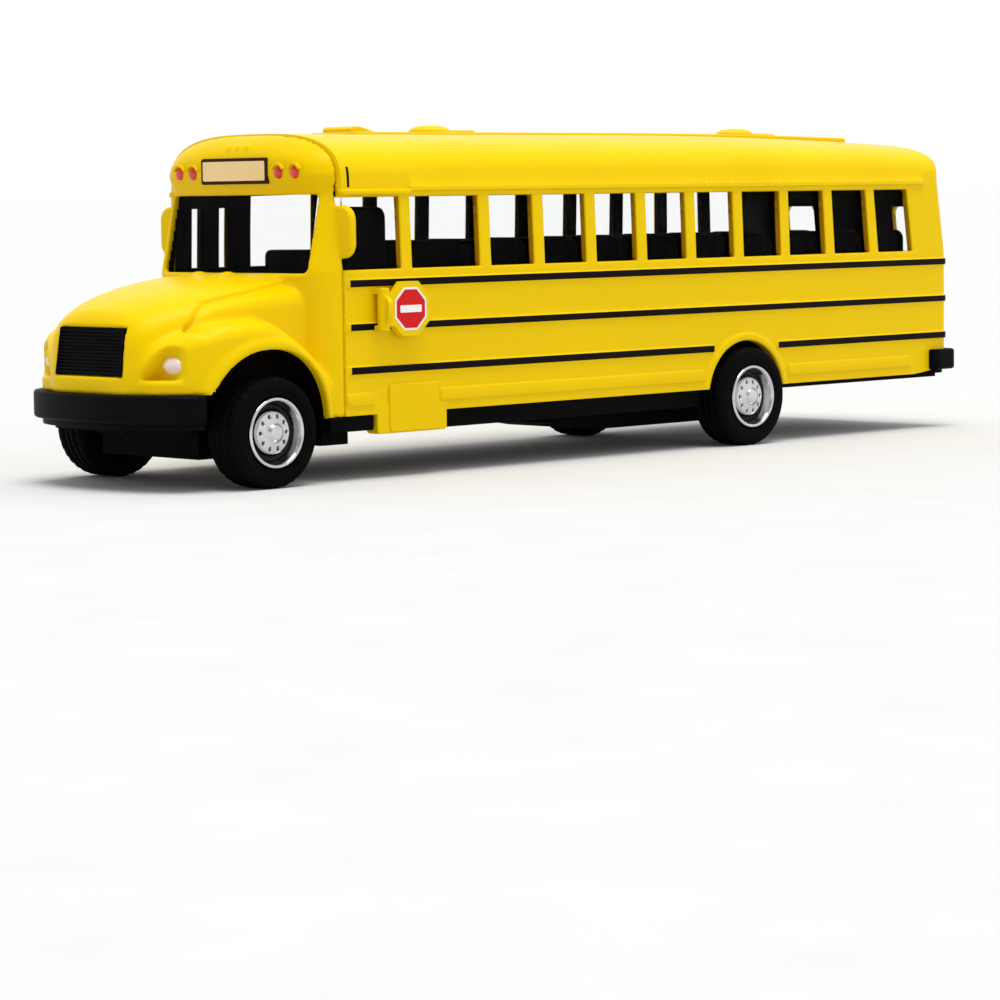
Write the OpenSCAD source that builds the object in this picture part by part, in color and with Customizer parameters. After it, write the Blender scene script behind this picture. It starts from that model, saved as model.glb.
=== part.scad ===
// Toy bus with a bonnet: die-cast shell, black base, pull-back motor and a swinging stop sign.
// +X is forward, +Y is the bus's left side, +Z is up. The origin lies on the floor under the middle.

/* [Body] */
// Half width of the side panels below the windows
body_hw = 24.2; // [23:0.1:26]
// How far each side leans in from the belt line to the eaves
side_lean = 0.6; // [0:0.1:2]
// Wall thickness of the castings
wall = 1.4; // [1:0.1:1.8]
// Height of the skirt's lower edge
skirt_z = 11.6; // [10.8:0.1:12.4]
// Height of the belt line, where the sides begin to lean in
belt_z = 37; // [36:0.1:37.4]
// Height of the roof's crown
roof_z = 61.9; // [58:0.1:66]
// Height of the roof's crown above the eaves
roof_rise = 9.6; // [8:0.1:11]
// Squareness of the roof's shoulders, 2 for an ellipse
roof_power = 3; // [2:0.1:4]
// Place of the rear wall
rear_x = -105.4; // [-120:0.1:-95]
// How far the rear wall leans forward above the belt line
rear_lean = 1.6; // [0:0.1:3]
// Corner radius of the rear wall, seen from above
rear_corner_r = 3; // [2:0.1:5]
// Radius of the roof's rear edge
roof_rear_r = 4; // [2.5:0.1:6]
// Place of the seam between the main casting and the front casting
seam_x = 64.5; // [55:0.1:75]

/* [Ribs and bands] */
// Height of each rib's middle, from the top down
rib_z = [35.1, 27.35, 19.6, 14.4];
// Height of one rib
rib_h = 1.2; // [0.8:0.1:1.6]
// How far a rib stands out from the panel
rib_out = 0.4; // [0.2:0.05:0.6]
// How far the drip rail stands out at the eaves
rail_out = 0.6; // [0.3:0.1:1]
// Height of the drip rail
rail_h = 0.8; // [0.5:0.1:1.2]

/* [Windows] */
// Height of the window sills
sill_z = 37.5; // [37.2:0.1:39]
// How far the window heads lie below the eaves
head_drop = 1.9; // [1.5:0.1:4]
// Width of one regular side window
win_w = 11.6; // [9:0.1:12.2]
// Step from one regular side window to the next
win_pitch = 14.06; // [13:0.01:16]
// Width of the wide window ahead of the regular ones
wide_w = 17.15; // [14:0.05:20]
// Distance from the seam back to the wide window
wide_gap = 15.15; // [14:0.05:17]
// Width of the pillar between the wide window and the first regular one
pillar_w = 2.45; // [2:0.05:4]
// Width of the driver's window, which runs to the seam
driver_win_w = 12.5; // [9:0.1:13]
// Distance from the body's side to a rear window
rear_win_edge = 5.2; // [4.5:0.1:7]
// Width of a rear window
rear_win_w = 8; // [6:0.1:9]
// Height of a rear window against the height of a side window
rear_win_share = 0.72; // [0.5:0.01:0.9]
// Thickness of the clear glazing
glass_t = 0.8; // [0.5:0.1:1.2]

/* [Doors] */
// Width of the passenger door, which runs to the seam
door_w = 13.2; // [11:0.1:14]
// How far the passenger door's head lies below the eaves
door_head_drop = 2.1; // [1.5:0.1:4]
// Width of a door groove
groove_w = 0.6; // [0.3:0.1:0.9]
// Depth of a door groove
groove_d = 0.4; // [0.2:0.1:0.6]
// Width of a slot window in the passenger door
slot_w = 2.2; // [1.5:0.1:3]
// Distance from the rear edge of a door leaf to its slot window
slot_in = 1.98; // [1.5:0.01:3]
// Distance from the rear door's edge to a rear window
rear_door_gap = 2.3; // [1.5:0.1:4]
// Height of the rear door's foot
rear_door_z = 20.4; // [17:0.1:24]
// Lower edge of the step well
step_z = 4.2; // [3.5:0.1:7]
// Distance from the seam back to the step well's foot
step_len = 15.8; // [13:0.1:17]
// Lower edge of the battery box
box_z = 8; // [6:0.1:10]
// Distance from the seam back to the battery box
box_gap = 5.5; // [4:0.1:8]
// Length of the battery box
box_len = 17.5; // [14:0.1:19]
// Thickness of the battery box and of the step well
box_t = 3; // [2:0.1:5]

/* [Roof fittings] */
// Half width of the raised strip along the roof
strip_hw = 6.5; // [4:0.1:9]
// Height of the raised strip above the crown
strip_h = 0.5; // [0.3:0.1:1]
// Distance from the seam back to the raised strip
strip_front_gap = 17; // [10:0.1:25]
// Distance from the rear wall to the raised strip
strip_rear_gap = 5.6; // [5:0.1:20]
// Distance from the strip's front end back to the front hatch
front_hatch_gap = 23.5; // [20:0.1:30]
// Distance from the strip's rear end to the rear hatch
rear_hatch_gap = 34.5; // [20:0.1:40]
// Radius of a roof hatch
hatch_r = 5; // [3:0.1:6.4]
// Height of a roof hatch above the strip
hatch_h = 1.4; // [0.8:0.1:2.5]
// Length of the flat tail behind a hatch
hatch_tail = 7; // [4:0.1:10]
// Half width of a hatch's tail and of the scoop
tail_hw = 3.8; // [2:0.1:5]
// Length of the roof scoop
scoop_len = 9.2; // [6:0.1:12]
// Height of the roof scoop above the strip
scoop_h = 1.1; // [0.6:0.1:2]

/* [Front casting] */
// Length of the cab from the seam to the foot of the windscreen
cab_len = 7.5; // [7:0.1:9]
// How far the windscreen leans back from foot to head
screen_lean = 2.4; // [1:0.1:4]
// How far the roof cap stands out over the windscreen's head
cap_out = 0.9; // [0.5:0.1:2]
// Radius of the roof cap's front edge
cap_r = 5; // [3:0.1:5.4]
// Corner radius of the cab, seen from above
cab_corner_r = 4.6; // [4:0.1:4.8]
// Distance from the body's side to the windscreen's edge
screen_edge = 4.4; // [4.2:0.1:8]
// Height of the bonnet at the windscreen
bonnet_z = 37.2; // [36.6:0.1:37.4]
// How far the bonnet's side lies in from the body's side
bonnet_in = 4.8; // [4:0.1:6]
// How far the bonnet's top falls to the nose
bonnet_fall = 9; // [8:0.1:10]
// How far the bonnet's crown rises above its sides
bonnet_crown = 6; // [4:0.1:7]
// Length from the foot of the windscreen to the nose
nose_len = 32.6; // [30:0.1:36]
// Lower edge of the nose and wings
nose_z = 16.9; // [16.8:0.1:18]
// Height of the wings' crown over the front wheels
wing_z = 29.2; // [28.4:0.1:30]
// How far a wing's crown falls to the nose
wing_fall = 9.2; // [8:0.1:10]
// Half width of the grille
grille_hw = 9.3; // [7:0.1:9.4]
// Height of the grille's lower edge
grille_z = 19.9; // [18.6:0.1:22]
// Height of the grille
grille_h = 8.6; // [6:0.1:8.8]
// Depth of the grille's recess
grille_d = 1.2; // [0.8:0.1:1.6]
// Number of bars in the grille
grille_bars = 9; // [5:1:11]
// Distance from the body's side to the middle of a headlamp
lamp_in = 7; // [5.8:0.1:8]
// Height of a headlamp
lamp_z = 21.9; // [21:0.1:23]
// Radius of a headlamp
lamp_r = 2.3; // [1.5:0.1:2.6]
// Height of the mirrors
mirror_h = 9.3; // [7.4:0.1:11]
// How far a mirror stands out from the side
mirror_out = 3.1; // [1.5:0.1:5]
// Thickness of a mirror
mirror_t = 1.6; // [1:0.1:2.4]
// Corner radius of a mirror
mirror_r = 3.6; // [2:0.1:3.7]

/* [Wheels and axles] */
// Distance from the rear wall to the rear axle
rear_overhang = 64.4; // [55:0.1:70]
// How far the front axle lies behind the middle of the bonnet
front_axle_set = 5.1; // [3:0.1:6]
// Outer radius of a tyre
tyre_r = 9.75; // [9.2:0.05:10]
// Width of a tyre
tyre_w = 8; // [6:0.1:8.4]
// How far a tyre's outer face stands out from the body's side
wheel_out = 1.2; // [0.6:0.1:1.6]
// Outer radius of a hub, where the tyre sits
rim_r = 6.3; // [5:0.05:7]
// Radius of an axle
axle_r = 1; // [0.8:0.05:1.2]
// Running clearance of shafts and pins in their bores, on the radius
run_gap = 0.05; // [0.02:0.01:0.1]
// Room round a rear tyre in its arch
rear_arch_gap = 1.35; // [0.8:0.05:2]
// Room before and behind a front tyre in its arch
front_arch_gap = 3.25; // [2:0.05:3.6]
// Height of the front wheel arches' crown
front_arch_z = 24.2; // [22.5:0.1:25]

/* [Base] */
// Underside of the base's side rails
base_z = 8.2; // [7:0.1:9]
// Thickness of the base plate
base_t = 1.8; // [1.2:0.1:2.2]
// Clearance between the base and the castings
base_gap = 0.3; // [0.2:0.05:0.5]
// Room between the tyres and the base
neck_gap = 2.2; // [1.5:0.1:4]
// Underside of the motor tub
tub_z = 4.4; // [3:0.1:4.6]
// Thickness of the motor tub's floor and of the motor case's floor
tub_t = 0.6; // [0.5:0.1:0.9]
// Underside of the block below the front axle
valance_z = 5; // [4:0.1:7]
// Underside of the block below the cab's floor
cab_block_z = 6.4; // [5.5:0.1:8]
// Thickness of the base's lip behind the rear wheels
lip_t = 0.8; // [0.6:0.1:1.2]
// Lower edge of the front bumper
bumper_z = 11.9; // [11:0.1:12.6]
// How far the front bumper stands out ahead of the nose
bumper_out = 1.7; // [1:0.1:3]
// How far both bumpers stand out from the body's sides
bumper_side = 1.6; // [1:0.1:2.4]
// Thickness of both bumpers
bumper_t = 1.6; // [1.2:0.1:2.4]
// Height of the rear bumper
rear_bumper_h = 4.3; // [3:0.1:5]
// Radius of a screw's shank
screw_r = 1; // [0.7:0.05:1.2]

/* [Interior] */
// Top of the interior floor
floor_z = 27.4; // [27:0.1:29]
// Thickness of the interior floor
floor_t = 1.2; // [0.8:0.1:1.3]
// How far the bench backs rise above the window sills
bench_rise = 4.5; // [1:0.1:7]
// How far the driver's seat back ends below the window heads
driver_drop = 1.9; // [1:0.1:6]
// Height of the bench cushions above the floor
cushion_h = 6; // [4:0.1:8]
// Length of a bench cushion
bench_len = 7.7; // [6:0.1:9]
// Half width of the aisle
aisle_hw = 4; // [3:0.1:6]
// Thickness of a seat back
back_t = 2.4; // [1.6:0.1:3]
// Corner radius of a seat back
seat_r = 2; // [1:0.1:3]

/* [Stop sign] */
// Distance from the seam back to the sign's hinge pin
sign_gap = 6.3; // [5.5:0.1:7.5]
// Height of the sign's middle
sign_z = 30.3; // [29:0.1:31]
// Size of the octagon across its flats
sign_af = 9.8; // [8:0.1:10.4]
// Thickness of the sign
sign_t = 1.4; // [1:0.1:2]
// Radius of the hinge pin
pin_r = 0.5; // [0.4:0.05:0.6]
// Radius of the hinge knuckles
knuckle_r = 1.1; // [1:0.05:1.4]
// How far the finger tab stands out
tab_out = 2; // [1.8:0.1:4.5]
// Height of the finger tab
tab_h = 5; // [3:0.1:5.4]

/* [Motor] */
// Gear module
gear_m = 0.5; // [0.45:0.01:0.52]
// Teeth of the pinion on the rear axle
axle_teeth = 12; // [10:1:13]
// Teeth of the idler's large gear
idler_teeth = 30; // [26:1:31]
// Teeth of the idler's small gear
idler_pinion_teeth = 10; // [10:1:12]
// Teeth of the gear on the spring's arbor
spring_teeth = 32; // [28:1:33]
// Radius of the idler's shaft
idler_r = 0.8; // [0.6:0.05:1]
// Radius of the spring's arbor
arbor_r = 1.4; // [1:0.05:1.6]
// Thickness of the mainspring's strip
strip_t = 0.35; // [0.25:0.05:0.45]
// Turns of the mainspring
spring_turns = 5; // [3:1:6]
// Wall of the motor case
case_t = 1; // [0.8:0.1:1.2]
// Half width of the motor case
case_hw = 11; // [10.6:0.1:11.6]

/* [Hidden] */

$fn = 48;
eps = 0.01;
far = 300;
past = 1;
free_gap = 0.3;
roof_steps = 14;
curve_steps = 8;
corner_steps = 6;

// Heights and half widths of the body
eave_z = roof_z - roof_rise;
eave_hw = body_hw - side_lean;
head_z = eave_z - head_drop;
strip_z = roof_z + strip_h;

// Side windows, from the seam back, as many as the body's length takes
wide_front_x = seam_x - wide_gap;
win_front_x = wide_front_x - wide_w - pillar_w;
win_count = floor((win_front_x - rear_x - rear_corner_r - pillar_w) / win_pitch);
driver_win_x = seam_x - driver_win_w;

// Rear windows and rear door
rear_win_y = body_hw - rear_win_edge - rear_win_w;
rear_head_z = sill_z + (head_z - sill_z) * rear_win_share;
rear_door_hw = rear_win_y - rear_door_gap;
rear_door_head_z = head_z - groove_w;
rear_panel_in = 1.6;
rear_panel_h = 5.6;

// Passenger door, step well and battery box
door_x = seam_x - door_w;
door_head_z = eave_z - door_head_drop;
slot_low_z = 17.8;
slot_mid_z = 33.5;
slot_drop = 2;
step_x = seam_x - step_len;
step_slope = 0.6;
box_x = seam_x - box_gap - box_len;
pad_w = 5;
pad_gap = 1;

// Roof fittings
strip_front_x = seam_x - strip_front_gap;
strip_rear_x = rear_x + strip_rear_gap;
strip_bevel = 1;
hatch_x = [strip_front_x - front_hatch_gap, strip_rear_x + rear_hatch_gap];

// Lamps and destination panels
lamp_dot_r = 1.1;
panel_hw = 9;
panel_h = 4.3;
panel_rise = 0.8;
panel_z = eave_z + panel_rise;
warn_rise = 1.8;
warn_z = panel_z + warn_rise;
front_warn_y = [body_hw - 12.3, body_hw - 8.2];
rear_warn_y = [body_hw - 9.7, body_hw - 5.9];
rear_warn_x = rear_x + rear_lean;
rear_lamp_y = [body_hw - 11, body_hw - 6.5];
tail_z = 30.5;
tail_low_z = 23.9;

// Cab, bonnet and wings
cowl_x = seam_x + cab_len;
nose_x = cowl_x + nose_len;
screen_hw = body_hw - screen_edge;
screen_top_x = cowl_x - screen_lean;
screen_rim = 1;
cap_x = screen_top_x + cap_out;
cap_low_z = head_z + 2 * screen_rim;
cap_flat = 6;
cap_power = 2.6;
bonnet_hw = body_hw - bonnet_in;
bonnet_power = 1.8;
crown_power = 2.4;
grille_rim = 0.5;
nose_hw = grille_hw + grille_rim;
wing_hw = body_hw;
wing_r = 2.6;
wing_back = 4;
wing_back_power = 1.3;
wing_power = 2.25;
wing_set = 0.3;
wing_corner = 16;
wing_plan_power = 1.9;
wing_turn = 15;
arch_power = 2.3;
lamp_y = wing_hw - lamp_in;
lamp_set = 8;
lamp_seat_x = nose_x - lamp_set;
lamp_depth = 3;
lamp_dome_r = 1.6 * lamp_r;
mirror_gap = 1;
mirror_root = 2;
mirror_rise = 0.3;
step_front_gap = 2.4;

// Wheels and axles
rear_axle_x = rear_x + rear_overhang;
front_axle_x = (cowl_x + nose_x) / 2 - front_axle_set;
axle_z = tyre_r;
wheel_y = body_hw + wheel_out;
wheel_in_y = wheel_y - tyre_w;
well_gap = 1;
well_y = wheel_in_y - well_gap;
rear_arch_r = tyre_r + rear_arch_gap;
front_arch_hw = tyre_r + front_arch_gap;
tyre_shoulder = 1.2;
hub_in = 1.6;
hub_set = 0.2;
hub_lip = 0.6;
hub_slope = 0.8;
hub_dish = 2;
hub_face_r = 3.9;
hub_face = 1;
hub_cap_r = 2;
hub_cap = 0.6;

// Base, bumpers and posts
base_top = skirt_z - 0.1;
plate_z = base_top - base_t;
rail_hw = body_hw - wall - base_gap;
rail_t = 3;
base_neck = wheel_in_y - neck_gap;
base_rear_x = rear_x + wall + base_gap;
arch_rim = 1;
valance_set = 6;
valance_in = 9;
valance_len = 12;
valance_x = nose_x - valance_set;
cab_block_len = 6.4;
lip_z = base_top - lip_t;
keel_hw = 8;
block_t = 3;
block_len = 6;
post_r = 2.6;
post_foot_z = base_top;
post_ahead = 12;
post_gap = 1;
post_drop = 4.5;
front_post_x = front_axle_x + post_ahead;
rear_post_x = rear_x + wall + post_r + post_gap;
screw_grip = 8;
screw_seat_z = plate_z + base_t / 3;
well_top_z = floor_z - floor_t - base_gap;
bumper_x = nose_x + bumper_out;
bumper_hw = body_hw + bumper_side;
bumper_back_x = front_axle_x + front_arch_hw + 0.4;
bumper_tuck = 3;
bumper_power = 2.1;
bumper_corner = 1.5;
bumper_wrap = 6;
rear_bumper_z = skirt_z + 0.7;
skid_len = 12;
skid_nose = 2;
skid_rise = 2;

// Pull-back motor
tip = 0.8;
root = 1.2;
root_w = 0.62;
tip_w = 0.25;
axle_dir = 25;
spring_dir = 10;
axle_mesh = gear_m * (axle_teeth + idler_teeth) / 2;
spring_mesh = gear_m * (idler_pinion_teeth + spring_teeth) / 2;
idler_x = rear_axle_x + axle_mesh * cos(axle_dir);
idler_z = axle_z + axle_mesh * sin(axle_dir);
arbor_x = idler_x + spring_mesh * cos(spring_dir);
arbor_z = idler_z + spring_mesh * sin(spring_dir);
tub_hw = case_hw + free_gap + case_t;
tub_floor = tub_z + tub_t;
case_in_z = tub_floor + tub_t;
case_top_z = arbor_z + gear_m * (spring_teeth / 2 + tip) + free_gap;
case_rear_x = rear_axle_x - gear_m * (axle_teeth / 2 + tip) - free_gap - case_t;
case_front_x = arbor_x + gear_m * (spring_teeth / 2 + tip) + free_gap + case_t;
tub_rear_x = case_rear_x - free_gap - case_t;
tub_front_x = case_front_x + free_gap + case_t;
gear_lap = 0.3;
wide_y = [5.3, 7.7];
narrow_y = [1.4, 4.4];
spring_y = [-7.5, 0.6];

// Interior and glazing
bench_z = sill_z + bench_rise;
bench_set = 1.2;
driver_z = head_z - driver_drop;
driver_set = 1;
driver_len = 7.5;
driver_in = 2;
tray_hw = body_hw - wall - side_lean - 2 * glass_t;
tray_set = 3;
tray_front_x = seam_x - tray_set;
tray_rear_x = rear_post_x + post_r + free_gap;
leg_gap = 4;
leg_len = 4;
leg_t = 2;
glass_gap = 0.05;
glass_lap = 0.6;
glass_end = 2;
glass_rear_x = rear_x + rear_corner_r + wall + glass_end;

// Stop sign
sign_x = seam_x - sign_gap;
lug_h = 1.6;
sign_neck = 0.2;
sign_back_y = body_hw + rib_out + free_gap;
sign_pin_y = sign_back_y + knuckle_r - free_gap / 2;
sign_mid_x = sign_x - knuckle_r - sign_neck - sign_af / 2;

// Points of an arc in degrees
function arc(cx, cy, r, from, to, steps) = [
    for (i = [0:steps])
        let (a = from + (to - from) * i / steps)
            [cx + r * cos(a), cy + r * sin(a)]
];
// Points of a quarter of a superellipse, from [x, y + dy] round to [x + dx, y]
function quarter(x, y, dx, dy, power, steps = curve_steps) = [
    for (i = [0:steps])
        let (a = 90 * i / steps, k = 2 / power)
            [x + dx * pow(sin(a), k), y + dy * (i == steps ? 0 : pow(cos(a), k))]
];
function swapped(points) = [for (p = points) [p[1], p[0]]];
function flipped(points) = [for (p = points) [-p[0], p[1]]];
function reversed(points) = [for (i = [len(points) - 1:-1:0]) points[i]];
function tail(points) = [for (i = [1:len(points) - 1]) points[i]];
// A half outline given as [along, across], closed by its mirror image across
function both_ways(half) = concat(half, reversed([for (p = half) [p[0], -p[1]]]));
// A half section given as [across, height] that ends on the middle line, closed by its mirror image
function both_sides(half) = concat(half, tail(reversed(flipped(half))));

// Outline in X and Z, drawn out along Y on both sides of the middle
module across(points, half = far) {
    rotate([90, 0, 0])
        linear_extrude(height = 2 * half, center = true)
            polygon(points);
}
// Outline in Y and Z, drawn out along X
module along(points, from, to) {
    translate([from, 0, 0])
        rotate([90, 0, 90])
            linear_extrude(height = to - from)
                polygon(points);
}
// Outline in X and Y, drawn out along Z
module upright(points, from, to) {
    translate([0, 0, from])
        linear_extrude(height = to - from)
            polygon(points);
}
// Box between two corners
module span(low, high) {
    translate(low)
        cube(high - low);
}
// Round bar along Y
module bar_y(x, z, r, from, to) {
    translate([x, to, z])
        rotate([90, 0, 0])
            cylinder(r = r, h = to - from);
}
// Round bar along X
module bar_x(y, z, r, from, to) {
    translate([from, y, z])
        rotate([0, 90, 0])
            cylinder(r = r, h = to - from);
}

// Main casting

// Section of the body, drawn in by an inset
function body_section(inset, foot) = both_sides(concat(
    [
        [body_hw - inset, foot],
        [body_hw - inset, belt_z]
    ],
    swapped(quarter(eave_z, 0, roof_rise - inset, eave_hw - inset, roof_power, roof_steps))
));
// Side view of the main casting
function body_side(inset, foot, front) = concat(
    [
        [front, foot],
        [rear_x + inset, foot],
        [rear_x + inset, belt_z]
    ],
    arc(
        rear_x + rear_lean + roof_rear_r, roof_z - roof_rear_r,
        roof_rear_r - inset, 180, 90, corner_steps
    ),
    [[front, roof_z - inset]]
);
// Plan of the main casting
function body_plan(inset, front) = both_ways(concat(
    [[front, body_hw - inset]],
    arc(
        rear_x + rear_corner_r, body_hw - rear_corner_r,
        rear_corner_r - inset, 90, 180, corner_steps
    )
));
module body_form(inset, foot, front) {
    intersection() {
        along(body_section(inset, foot), rear_x - past, front);
        across(body_side(inset, foot, front));
        upright(body_plan(inset, front), foot, roof_z + past);
    }
}
// Ribs round the sides and the rear wall, kept off the passenger door
module ribs() {
    intersection() {
        body_form(-rib_out, skirt_z, seam_x);
        union() {
            for (z = rib_z)
                span([rear_x - far, -far, z - rib_h / 2], [door_x, far, z + rib_h / 2]);
            for (z = rib_z)
                span([door_x - eps, 0, z - rib_h / 2], [seam_x - pad_gap, far, z + rib_h / 2]);
        }
    }
}
module drip_rails() {
    rail = both_sides([
        [eave_hw + rail_out, eave_z - rail_h],
        [eave_hw + rail_out, eave_z],
        [0, eave_z]
    ]);
    along(rail, rear_x + rear_lean + roof_rear_r, wide_front_x);
    translate([0, 0, -rail_h])
        along(rail, wide_front_x - eps, seam_x);
}
module roof_fittings() {
    strip = both_sides([
        [strip_hw, eave_z],
        [strip_hw, strip_z - strip_h / 2],
        [strip_hw - strip_bevel, strip_z],
        [0, strip_z]
    ]);
    dome_r = (hatch_r * hatch_r + hatch_h * hatch_h) / (2 * hatch_h);
    along(strip, strip_rear_x, strip_front_x);
    for (x = hatch_x) {
        intersection() {
            translate([x, 0, strip_z + hatch_h - dome_r])
                sphere(r = dome_r);
            translate([x, 0, strip_z - strip_h])
                cylinder(r = hatch_r, h = far);
        }
        span(
            [x - hatch_r - hatch_tail, -tail_hw, strip_z - strip_h],
            [x, tail_hw, strip_z + hatch_h / 3]
        );
    }
    across([
        [strip_front_x, eave_z],
        [strip_front_x, strip_z + scoop_h],
        [strip_front_x - scoop_len, strip_z],
        [strip_front_x - scoop_len, eave_z]
    ], tail_hw);
}
// Battery box on the left and step well on the right, both below the skirt
module skirt_boxes() {
    span([box_x, body_hw - box_t, box_z], [box_x + box_len, body_hw, skirt_z + rib_h]);
    step_lean = (skirt_z - step_z) * step_slope;
    intersection() {
        across([
            [step_x - step_lean, skirt_z + rib_h],
            [step_x - step_lean, skirt_z],
            [step_x, step_z],
            [seam_x, step_z],
            [seam_x, skirt_z + rib_h]
        ]);
        span([0, -body_hw, 0], [far, -body_hw + box_t, far]);
    }
    step_pads();
}
// Small raised pads behind the passenger door
module step_pads() {
    pad_y = -body_hw - rib_out;
    front_x = door_x - pad_gap;
    span([door_x - pad_w, pad_y, rib_z[2] - rib_h], [front_x, pad_y + wall, rib_z[2] + rib_h]);
    span([door_x - 2 * pad_w, pad_y, rib_z[3]], [door_x - pad_w + eps, pad_y + wall, rib_z[2]]);
    span([door_x - pad_w, pad_y, rib_z[3] - rib_h], [front_x, pad_y + wall, rib_z[3] + rib_h]);
}
// Hinge lugs of the stop sign, above and below its own knuckle
module sign_lugs() {
    for (z = [sign_z - sign_af / 2, sign_z + sign_af / 2 - lug_h])
        translate([0, 0, z]) {
            translate([sign_x, sign_pin_y, 0])
                cylinder(r = knuckle_r, h = lug_h);
            span([sign_x - knuckle_r, body_hw - wall / 2, 0], [sign_x + knuckle_r, sign_pin_y, lug_h]);
        }
}
module sign_pin_bore() {
    translate([sign_x, sign_pin_y, sign_z - sign_af / 2 - past])
        cylinder(r = pin_r, h = sign_af + 2 * past);
}
// Raised lamps and the destination panel on the rear wall
module rear_relief() {
    for (y = rear_lamp_y)
        for (s = [-1, 1])
            bar_x(s * y, tail_z, lamp_dot_r, rear_x - rib_out, rear_x + wall / 2);
    for (y = rear_warn_y)
        for (s = [-1, 1])
            bar_x(s * y, warn_z, lamp_dot_r, rear_warn_x - rib_out, rear_warn_x + wall);
    bar_x(rear_lamp_y[1], tail_low_z, lamp_dot_r, rear_x - rib_out, rear_x + wall / 2);
    bar_x(-rear_lamp_y[0], tail_low_z, lamp_dot_r, rear_x - rib_out, rear_x + wall / 2);
    span([rear_warn_x - rib_out, -panel_hw, panel_z], [rear_warn_x + wall, panel_hw, panel_z + panel_h]);
}
// Screw post under the roof of the main casting, behind the last bench
module rear_post() {
    translate([rear_post_x, 0, post_foot_z])
        cylinder(r = post_r, h = eave_z - post_foot_z);
    span([rear_x + wall / 2, -wall / 2, post_foot_z + post_r], [rear_post_x, wall / 2, eave_z]);
}
module side_windows() {
    for (i = [0:win_count - 1])
        span(
            [win_front_x - win_w - i * win_pitch, -far, sill_z],
            [win_front_x - i * win_pitch, far, head_z]
        );
    span([wide_front_x - wide_w, -far, sill_z], [wide_front_x, far, head_z]);
    span([driver_win_x, 0, sill_z], [seam_x + past, far, head_z]);
}
module rear_windows() {
    for (s = [-1, 1])
        translate([0, s * (rear_win_y + rear_win_w / 2), 0])
            span(
                [rear_x - past, -rear_win_w / 2, sill_z],
                [rear_x + rear_lean + 2 * wall, rear_win_w / 2, rear_head_z]
            );
}
// What lies outside the body's surface drawn in by a groove's depth
module groove_cut() {
    difference() {
        children();
        body_form(groove_d, skirt_z - past, seam_x + 2 * past);
    }
}
module passenger_door_cuts() {
    low = -body_hw - past;
    high = -body_hw + side_lean + wall;
    groove_cut() {
        span([door_x, low, skirt_z], [door_x + groove_w, high, door_head_z]);
        span([door_x, low, door_head_z - groove_w], [seam_x + past, high, door_head_z]);
        span([door_x, low, skirt_z], [seam_x + past, high, skirt_z + groove_w]);
    }
    for (i = [0, 1]) {
        slot_x = door_x + i * door_w / 2 + slot_in;
        span([slot_x, low, slot_low_z], [slot_x + slot_w, high + wall, slot_mid_z]);
        span([slot_x, low, sill_z], [slot_x + slot_w, high + wall, head_z - slot_drop]);
    }
}
// Grooves round the rear door, with a shallow panel above and below
module rear_door_cuts() {
    back = rear_x - past;
    front = rear_x + rear_lean + wall;
    panel_low_z = rear_door_z + rear_panel_in;
    door_panel_hw = rear_door_hw - rear_panel_in;
    groove_cut() {
        for (s = [-1, 1])
            translate([0, s * rear_door_hw, 0])
                span([back, -groove_w / 2, rear_door_z], [front, groove_w / 2, rear_door_head_z]);
        span([back, -rear_door_hw, rear_door_z], [front, rear_door_hw, rear_door_z + groove_w]);
        span([back, -rear_door_hw, rear_door_head_z - groove_w], [front, rear_door_hw, rear_door_head_z]);
        span([back, -door_panel_hw, sill_z], [front, door_panel_hw, rear_head_z]);
        span([back, -door_panel_hw, panel_low_z], [front, door_panel_hw, panel_low_z + rear_panel_h]);
    }
}
module rear_arches() {
    for (s = [-1, 1])
        bar_y(rear_axle_x, axle_z, rear_arch_r, s > 0 ? well_y : -far, s > 0 ? far : -well_y);
}
// Hole for a screw in a casting's post
module screw_bore(x) {
    translate([x, 0, post_foot_z - past])
        cylinder(r = screw_r, h = screw_grip + past);
}
module body_shell() {
    color("gold")
        difference() {
            union() {
                difference() {
                    union() {
                        body_form(0, skirt_z, seam_x);
                        ribs();
                        drip_rails();
                        roof_fittings();
                        rear_relief();
                    }
                    body_form(wall, skirt_z - past, seam_x + past);
                    side_windows();
                    rear_windows();
                    passenger_door_cuts();
                    rear_door_cuts();
                }
                skirt_boxes();
                sign_lugs();
                rear_post();
            }
            rear_arches();
            sign_pin_bore();
            screw_bore(rear_post_x);
        }
}

// Front casting

// Side view of the cab part, from the cowl to the roof cap
function cab_side(inset, foot, back) = concat(
    [
        [back, foot],
        [cowl_x - inset, foot],
        [cowl_x - inset, sill_z],
        [screen_top_x - inset, head_z + screen_rim],
        [cap_x - inset, cap_low_z]
    ],
    arc(cap_x - cap_r, roof_z - cap_r, cap_r - inset, 0, 90, corner_steps),
    [[back, roof_z - inset]]
);
function cab_plan(inset, back) = both_ways(concat(
    [[back, body_hw - inset]],
    arc(
        cowl_x - cab_corner_r, body_hw - cab_corner_r,
        cab_corner_r - inset, 90, 0, corner_steps
    )
));
// Bowed plan of the roof cap
function cap_plan(inset, back) = both_ways(concat(
    [[back, body_hw - inset]],
    quarter(seam_x, cap_flat - inset, cap_x - seam_x - inset, body_hw - cap_flat, cap_power)
));
module cab_form(inset, foot, back) {
    intersection() {
        along(body_section(inset, foot), back, cowl_x + past);
        across(cab_side(inset, foot, back));
        union() {
            upright(cab_plan(inset, back), foot, cap_low_z);
            upright(cap_plan(inset, back), cap_low_z - eps, roof_z + past);
        }
    }
}
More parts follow.
